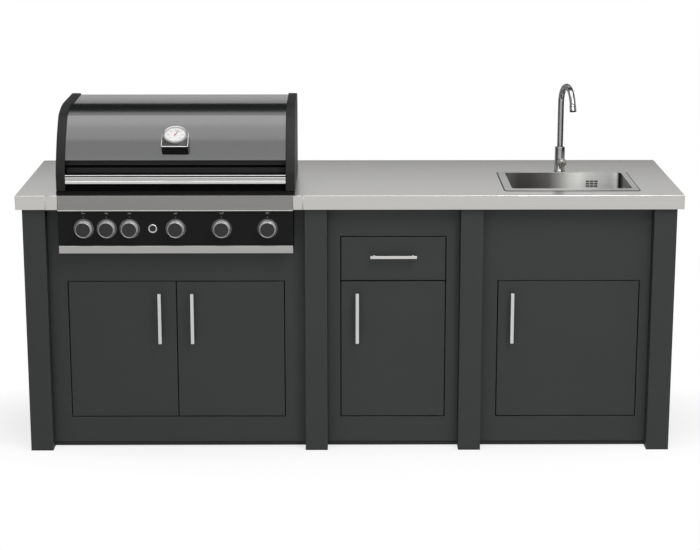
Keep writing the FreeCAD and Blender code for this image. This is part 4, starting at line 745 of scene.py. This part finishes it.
# painted shade: the block is near black so its undercut front reads as shaded
block_painted_shade = enamel("cast_zinc_black_painted_shade", "#0b0b0b", "#101010", 0.3, 1.35, 0.005 * mm)
dress(["thermometer_block"], block_painted_shade)
case_silver = silver_lacquer("brass_satin_chrome_plated_case", "#9a9a9a", "#b0b0b0", 0.25, 0.6)
case_low, case_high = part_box("thermometer_case")
dial_slope = math.atan2(58.0, 96.0)
case_height = 12 * mm
outward = Vector((0, -math.sin(dial_slope), math.cos(dial_slope)))
case_foot = (case_low + case_high) / 2 - outward * case_height / 2
dial_stand = Matrix.Translation(case_foot) @ Matrix.Rotation(dial_slope, 4, "X")
case_profile = [(43.2, 0.0), (44.0, 0.8), (44.0, 9.5), (43.4, 11.2), (42.2, 12.0), (40.4, 12.0), (38.2, 11.4),
                (37.4, 11.0), (40.0, 11.0), (40.0, 5.0), (2.05, 5.0), (2.05, 0.0)]
case = bmesh.new()
lathe(case, in_mm(case_profile), dial_stand, 96)
settle("thermometer_case_turned", mesh_of("thermometer_case_turned", case, 40), case_silver, "hood",
       ("thermometer_case",))


def arch(half_width, foot, corner, steps=24):
    """A U turned over: a half round over two straight sides that end in rounded corners at the foot."""
    points = []
    for side, start in ((1, -90), (-1, 180)):
        for step in range(5):
            angle = math.radians(start + step * 22.5)
            points.append((side * (half_width - corner) + corner * math.cos(angle),
                           foot + corner + corner * math.sin(angle)))
        if side == 1:
            for step in range(steps + 1):
                angle = math.pi * step / steps
                points.append((half_width * math.cos(angle), half_width * math.sin(angle)))
    return points


plate_outline = in_mm(arch(46.0, -56.6, 4.0))
plate = bmesh.new()
plate_rings = [[plate.verts.new((x, y, z * mm)) for x, y in plate_outline] for z in (0.0, 1.0)]
plate.faces.new(plate_rings[1])
for place in range(len(plate_outline)):
    low_ring, high_ring = plate_rings
    plate.faces.new((low_ring[place - 1], low_ring[place], high_ring[place], high_ring[place - 1]))
bmesh.ops.transform(plate, matrix=dial_stand, verts=plate.verts)
# painted light: the grey plate is the lit copy of the block's face
plate_painted_light = brushed_steel("stainless_steel_plate_painted_light", "#5c5c5b", "#686867", 0.34, (60.0, 60.0, 60.0),
                            0.1)
settle("thermometer_plate", mesh_of("thermometer_plate", plate), plate_painted_light, "hood")
bead_outline = [(-1.2, 0.0), (-1.2, 1.4), (-0.5, 2.2), (0.5, 2.2), (1.2, 1.4), (1.2, 0.0)]
bead = bmesh.new()
swept(bead, [Vector((x * mm, y * mm, 0)) for x, y in arch(45.8, -56.4, 4.0)], upward, in_mm(bead_outline),
      True)
bmesh.ops.transform(bead, matrix=dial_stand, verts=bead.verts)
bead_silver = silver_lacquer("die_cast_zinc_silver_bead", "#dededd", "#eeeeed", 0.25, 0.25)
settle("thermometer_bead", mesh_of("thermometer_bead", bead, 60), bead_silver, "hood")

dial_paint = moulded_plastic("printed_aluminium_white", "#c4c4c2", "#cececc", 0.5)
dress(["thermometer_dial"], dial_paint)
dial_ink = moulded_plastic("screen_print_black", "#1a1a1a", "#222222", 0.6)
dial_top = 6.05 * mm
print_marks = bmesh.new()
for step in range(19):
    angle = math.radians(225 - step * 15)
    long = 6.0 if step % 3 == 0 else 3.4
    reach = (36.5 - long / 2) * mm
    tick_place = dial_stand @ Vector((reach * math.cos(angle), reach * math.sin(angle), dial_top))
    turn = Matrix.Rotation(dial_slope, 4, "X") @ Matrix.Rotation(angle, 4, "Z")
    box_at(print_marks, tick_place, Vector((long, 1.0, 0.1)) * mm, turn)
circle_stand = dial_stand @ Matrix.Translation((0, 0, dial_top))
lathe(print_marks, [(37.0 * mm, 0.0), (37.0 * mm, 0.06 * mm), (38.6 * mm, 0.06 * mm), (38.6 * mm, 0.0)],
      circle_stand, 96)
settle("dial_ticks", mesh_of("dial_ticks", print_marks), dial_ink, "hood")
figure_reach = 24.5 * mm
for step in range(7):
    angle = math.radians(225 - step * 45)
    figure = bpy.data.curves.new("dial_figure_%d" % (step + 1), "FONT")
    figure.body = str(50 * (step + 1))
    figure.size = 7.5 * mm
    figure.align_x = "CENTER"
    figure.align_y = "CENTER"
    drawn = add_object(figure.name, figure)
    bpy.context.view_layer.update()
    mesh = bpy.data.meshes.new_from_object(drawn.evaluated_get(bpy.context.evaluated_depsgraph_get()))
    bpy.data.objects.remove(drawn)
    figure_place = (figure_reach * math.cos(angle), figure_reach * math.sin(angle), dial_top)
    mesh.transform(dial_stand @ Matrix.Translation(figure_place))
    settle(figure.name, mesh, dial_ink, "hood")
needle_paint = moulded_plastic("lacquered_steel_red", "#7d1222", "#8b1828", 0.35)
dress(["thermometer_needle"], needle_paint)
glass, tree = new_material("soda_glass_clear")
place = add_node(tree, "ShaderNodeTexCoord")
wave = add_node(tree, "ShaderNodeTexNoise", {"Scale": 40.0, "Detail": 1.0},
                {"Vector": place.outputs["Object"]})
bump = add_node(tree, "ShaderNodeBump", {"Strength": 0.1, "Distance": 0.01 * mm}, {"Height": wave.outputs[0]})
shader = add_node(tree, "ShaderNodeBsdfPrincipled",
                  {"Base Color": to_linear("#fefefe"), "Roughness": 0.03, "IOR": 1.5,
                  "Alpha": 0.15}, {"Normal": bump.outputs[0]})
add_node(tree, "ShaderNodeOutputMaterial", links={"Surface": shader.outputs[0]})
dress(["thermometer_lens"], glass)

# Sink: a deep-drawn stainless bowl, brushed round its walls, with broad bands of painted reflection and shade
# down them, and a flat rim set on a black bead that paints the shadow line under the rim. The waste has a
# steel flange with a round strainer whose holes are painted as black discs, and the overflow slots open into
# a black plastic box; this black and the black in the slots are painted shade inside the overflow.


def round_brushed(name, bands, rim_colour, roughness, anisotropy):
    """Stainless steel brushed round a bowl, with bands of painted reflection and shade on its walls and an
    even rim.
    """
    material, tree = new_material(name)
    place = add_node(tree, "ShaderNodeTexCoord")
    # the hairlines are 0.1 mm apart; they are drawn about 5 mm apart to show
    along = add_node(tree, "ShaderNodeMapping", {"Scale": (3.0, 3.0, 200.0)},
                     {"Vector": place.outputs["Object"]})
    lines = add_node(tree, "ShaderNodeTexNoise", {"Scale": 1.0, "Detail": 3.0}, {"Vector": along.outputs[0]})
    split = add_node(tree, "ShaderNodeSeparateXYZ", links={0: place.outputs["Object"]})
    across = add_node(tree, "ShaderNodeMapRange", {"From Min": rim_low.x, "From Max": rim_high.x},
                      {"Value": split.outputs["X"]})
    # painted reflection: a ramp of tones across the bowl from left to right
    tone = add_node(tree, "ShaderNodeValToRGB", links={0: across.outputs[0]})
    for place_on_ramp, _ in bands[1:-1]:
        tone.color_ramp.elements.new(place_on_ramp)
    for element, (place_on_ramp, shade) in zip(tone.color_ramp.elements, bands):
        element.position = place_on_ramp
        element.color = to_linear(shade)
    on_rim = add_node(tree, "ShaderNodeMapRange",
                      {"From Min": rim_high.z - 1.2 * mm, "From Max": rim_high.z - 0.6 * mm},
                      {"Value": split.outputs["Z"]})
    painted_reflection_tone = add_node(tree, "ShaderNodeMix", {"data_type": "RGBA", 7: to_linear(rim_colour)},
                      {0: on_rim.outputs[0], 6: tone.outputs[0]})
    lined = add_node(tree, "ShaderNodeMapRange", {"To Min": 0.9, "To Max": 1.0}, {"Value": lines.outputs[0]})
    colour = add_node(tree, "ShaderNodeMix", {"data_type": "RGBA", "blend_type": "MULTIPLY", 0: 1.0},
                      {6: painted_reflection_tone.outputs[2], 7: lined.outputs[0]})
    around = add_node(tree, "ShaderNodeTangent", {"direction_type": "RADIAL", "axis": "Z"})
    shader = add_node(tree, "ShaderNodeBsdfPrincipled",
                      {"Metallic": 1.0, "Roughness": roughness, "Anisotropic": anisotropy,
                      "Anisotropic Rotation": 0.25},
                      {"Base Color": colour.outputs[2], "Tangent": around.outputs[0]})
    add_node(tree, "ShaderNodeOutputMaterial", links={"Surface": shader.outputs[0]})
    return material


rim_low, rim_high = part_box("sink_bowl")
# painted reflection and shade: darker to the left, a painted highlight right of the middle and near the right
# end, and a painted dark reflection at the right end
painted_reflection_bands = ((0.0, "#a4a4a1"), (0.1, "#6b6b69"), (0.16, "#555452"), (0.25, "#555452"), (0.4, "#706f6d"),
              (0.48, "#a9a8a6"), (0.56, "#dcdcda"), (0.63, "#ededeb"), (0.71, "#d8d8d6"), (0.88, "#d2d2d0"),
              (0.925, "#f4f4f2"), (0.945, "#4b4a49"), (1.0, "#444342"))
sink_steel = round_brushed("stainless_steel_satin_bowl", painted_reflection_bands, "#cfcfcc", 0.4, 0.6)
dress(["sink_bowl"], sink_steel)
dress(["sink_waste"], black_plastic)
rim_corner = 12 * mm
rim_path = []
rim_corners = ((rim_high.x, rim_low.y), (rim_high.x, rim_high.y), (rim_low.x, rim_high.y),
               (rim_low.x, rim_low.y))
for quarter, (x, y) in enumerate(rim_corners):
    centre_x = x - rim_corner if x == rim_high.x else x + rim_corner
    centre_y = y - rim_corner if y == rim_high.y else y + rim_corner
    for step in range(7):
        angle = math.radians(-90 + quarter * 90 + step * 15)
        rim_x = centre_x + rim_corner * math.cos(angle)
        rim_y = centre_y + rim_corner * math.sin(angle)
        rim_path.append(Vector((rim_x, rim_y, rim_high.z - 1.5 * mm)))
# painted shadow: a black bead round the rim stands in for the shadow line under the rim's edge
bead_outline = [(0.05, 0.0), (0.05, 1.45), (1.6, 1.3), (3.6, 0.7), (4.4, 0.0)]
bead = bmesh.new()
swept(bead, rim_path, upward, in_mm(bead_outline), True)
rim_bead_painted_shadow = moulded_plastic("sealant_black_painted_shadow_line", "#060606", "#0b0b0b", 0.6)
settle("sink_rim_bead_painted_shadow", mesh_of("sink_rim_bead_painted_shadow", bead, 60), rim_bead_painted_shadow, "island")
waste_low, waste_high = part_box("sink_waste")
drain_radius = 42.0
drain_place = Matrix.Translation((waste_low.x + drain_radius * mm, waste_low.y + drain_radius * mm,
                                  waste_high.z))
flange_profile = [(20.0, 0.1), (20.0, 1.2), (21.5, 1.8), (36.0, 1.2), (41.5, 0.5), (41.9, 0.0), (20.0, 0.0)]
strainer_profile = [(19.2, 0.1), (19.2, 1.0), (16.0, 1.5), (6.0, 2.4), (3.2, 3.6), (2.6, 5.4), (0.0, 6.0)]
drain = bmesh.new()
lathe(drain, in_mm(flange_profile), drain_place, 64)
lathe(drain, in_mm(strainer_profile), drain_place, 64)
drain_steel = brushed_steel("stainless_steel_polished_flange", "#c0c0be", "#cfcfcd", 0.2, (80.0, 80.0, 80.0),
                            0.1)
settle("drain_flange", mesh_of("drain_flange", drain, 50), drain_steel, "island")
# painted shade: black discs on the strainer stand in for its holes
holes = bmesh.new()
for step in range(12):
    angle = math.radians(step * 30)
    hole_place = drain_place @ Vector((11.5 * mm * math.cos(angle), 11.5 * mm * math.sin(angle), 1.95 * mm))
    lathe(holes, [(0.0, 0.16 * mm), (1.7 * mm, 0.1 * mm), (1.7 * mm, -0.3 * mm)],
          Matrix.Translation(hole_place), 16)
settle("strainer_holes", mesh_of("strainer_holes", holes), black_lacquer_and_hole_shade, "island")
overflow_x, overflow_z = 899 * mm, 899 * mm
bowl_rear_y = 90 * mm
overflow_size = (56.0, 8.0, 40.0)
slot_size = (12.6, 0.8, 5.8)
slot_pitch = (15.5, 9.0)
# painted shade: a black box behind the overflow and black slot fillings stand in for the shade inside the
# openings
overflow = bmesh.new()
box_at(overflow, (overflow_x, bowl_rear_y + 7 * mm, overflow_z), Vector(overflow_size) * mm)
bmesh.ops.bevel(overflow, geom=overflow.edges[:], offset=1.5 * mm, segments=2, affect="EDGES")
settle("overflow_box", mesh_of("overflow_box", overflow), black_lacquer_and_hole_shade, "island")
grating = bmesh.new()
for row in (-1, 0, 1):
    for column in (-1, 0, 1):
        slot_x = overflow_x + column * slot_pitch[0] * mm
        slot_z = overflow_z + row * slot_pitch[1] * mm
        bar_place = (slot_x, bowl_rear_y - 0.1 * mm, slot_z)
        box_at(grating, bar_place, Vector(slot_size) * mm)
settle("overflow_grating", mesh_of("overflow_grating", grating), black_lacquer_and_hole_shade, "island")

# Faucet: brass, turned and bent, then polished and chrome plated. The gooseneck swivels in the body, and a
# rod lever in a ball at the side sets flow and heat. The aerator in the tip has a black ring.


def chrome_plate(name, dark, light, edge, roughness):
    """Chrome plated brass: a clear mirror with painted dark reflections towards its edges, where it turns
    from the eye.
    """
    material, tree = new_material(name)
    place = add_node(tree, "ShaderNodeTexCoord")
    # the polish leaves soft patches about 40 mm across
    patch = add_node(tree, "ShaderNodeTexNoise", {"Scale": 25.0, "Detail": 1.0},
                     {"Vector": place.outputs["Object"]})
    colour = add_node(tree, "ShaderNodeMix", {"data_type": "RGBA", 6: to_linear(dark), 7: to_linear(light)},
                      {0: patch.outputs[0]})
    # painted reflection: the colour goes to the edge colour where the surface turns away from the eye
    turned_away = add_node(tree, "ShaderNodeLayerWeight", {"Blend": 0.5})
    rim = add_node(tree, "ShaderNodeMapRange", {"From Min": 0.25, "From Max": 0.75},
                   {"Value": turned_away.outputs["Facing"]})
    shaded = add_node(tree, "ShaderNodeMix", {"data_type": "RGBA", 7: to_linear(edge)},
                      {0: rim.outputs[0], 6: colour.outputs[2]})
    shader = add_node(tree, "ShaderNodeBsdfPrincipled", {"Metallic": 1.0, "Roughness": roughness},
                      {"Base Color": shaded.outputs[2]})
    add_node(tree, "ShaderNodeOutputMaterial", links={"Surface": shader.outputs[0]})
    return material


# the third colour is the painted dark reflection at the chrome's edges
faucet_chrome = chrome_plate("brass_polished_chrome_faucet", "#a4a4a4", "#aeaeae", "#4a4a4a", 0.2)
foot = Vector((782.0, 124.0, 940.0)) * mm
body_profile = [(0.0, -45.0), (15.6, -45.0), (16.0, -44.4), (16.0, -11.0), (25.4, -11.0), (26.0, -10.4),
                (26.0, -3.6), (25.4, -3.0), (16.0, -3.0), (16.0, 0.0), (20.5, 0.0), (20.5, 3.4), (20.0, 4.0),
                (18.9, 4.1), (18.5, 4.6), (18.5, 90.8), (17.4, 92.0), (11.8, 92.0), (11.3, 91.4),
                (11.3, 70.0)]
hub_height = 40
hub_place = foot + upward * hub_height * mm
hub_turn = math.radians(5.0)
hub_way = Vector((math.sin(hub_turn), -math.cos(hub_turn), 0))
body = bmesh.new()
lathe(body, in_mm(body_profile), Matrix.Translation(foot), 96)
lathe(body, [(14.0 * mm, 8.0 * mm), (14.0 * mm, 19.5 * mm), (13.5 * mm, 20.0 * mm), (8.1 * mm, 20.0 * mm)],
      facing(hub_place, hub_way), 64)
settle("faucet_body_turned", mesh_of("faucet_body_turned", body, 40), faucet_chrome, "island",
       ("faucet_body",))
spout_turn = math.radians(11.0)
spout_way = Vector((math.sin(spout_turn), -math.cos(spout_turn), 0))
spout_bend = 70 * mm
bend_height = 256
spout_sweep = 165.0
spout_steps = 44
pipe_radius = 11
bend_foot = foot + upward * bend_height * mm
spout_path = [foot + upward * 68 * mm, foot + upward * 160 * mm]
for step in range(spout_steps + 1):
    turned = math.radians(spout_sweep * step / spout_steps)
    out_of_bend = spout_way * spout_bend * (1 - math.cos(turned))
    spout_path.append(bend_foot + out_of_bend + upward * spout_bend * math.sin(turned))
flow = spout_way * math.sin(math.radians(spout_sweep)) + upward * math.cos(math.radians(spout_sweep))
spout_tip = spout_path[-1] + flow * 8 * mm
spout_path.append(spout_tip)
pipe = bmesh.new()
pipe_turns = [math.radians(turn) for turn in range(0, 360, 10)]
pipe_outline = [(pipe_radius * mm * math.cos(turn), pipe_radius * mm * math.sin(turn)) for turn in pipe_turns]
swept(pipe, spout_path, upward.cross(spout_way), pipe_outline)
aerator_profile = [(10.9, -0.2), (11.6, 0.0), (12.0, 0.5), (12.0, 6.0), (11.7, 6.4), (11.7, 7.0), (12.0, 7.4),
                   (12.0, 18.6)]
lathe(pipe, in_mm(aerator_profile), facing(spout_tip, flow), 64)
settle("faucet_spout_bent", mesh_of("faucet_spout_bent", pipe, 40), faucet_chrome, "spout",
       ("faucet_spout",))
aerator = bmesh.new()
aerator_ring = [(11.6, 18.4), (12.1, 18.8), (12.1, 22.4), (11.5, 23.0), (8.2, 23.0), (8.0, 21.0), (7.6, 20.4),
                (0.0, 20.0)]
lathe(aerator, in_mm(aerator_ring), facing(spout_tip, flow), 48)
settle("faucet_aerator_ring", mesh_of("faucet_aerator_ring", aerator), black_lacquer_and_hole_shade, "spout")
cup = bmesh.new()
cup_profile = [(8.0, 9.0), (8.0, 20.1), (13.4, 20.1), (14.0, 20.7), (14.0, 28.2), (13.2, 29.0), (12.2, 29.0)]
lathe(cup, in_mm(cup_profile), facing(hub_place, hub_way), 64)
settle("faucet_collar_turned", mesh_of("faucet_collar_turned", cup, 40), faucet_chrome, "cartridge",
       ("faucet_collar",))
ball_reach = 41.05
ball_radius = 17.0
ball_place = hub_place + hub_way * ball_reach * mm
pitch = math.radians(12.0)
stick_way = hub_way * math.cos(pitch) + upward * math.sin(pitch)
ball_turns = [math.radians(turn) for turn in range(0, 161, 8)]
ball_profile = [(ball_radius * math.sin(turn), -ball_radius * math.cos(turn)) for turn in ball_turns]
ball_profile = [(0.0 if radius < 0.001 else radius, height) for radius, height in ball_profile]
ball_profile += [(4.6, 16.6), (4.0, 17.2), (4.0, 43.6), (3.0, 45.0), (0.0, 45.0)]
stick = bmesh.new()
lathe(stick, in_mm(ball_profile), facing(ball_place, stick_way), 64)
lever_nickel = silver_lacquer("brass_satin_nickel_plated", "#85827e", "#a09d98", 0.42, 0.6)
settle("faucet_lever_turned", mesh_of("faucet_lever_turned", stick, 40), lever_nickel, "lever",
       ("faucet_lever",))
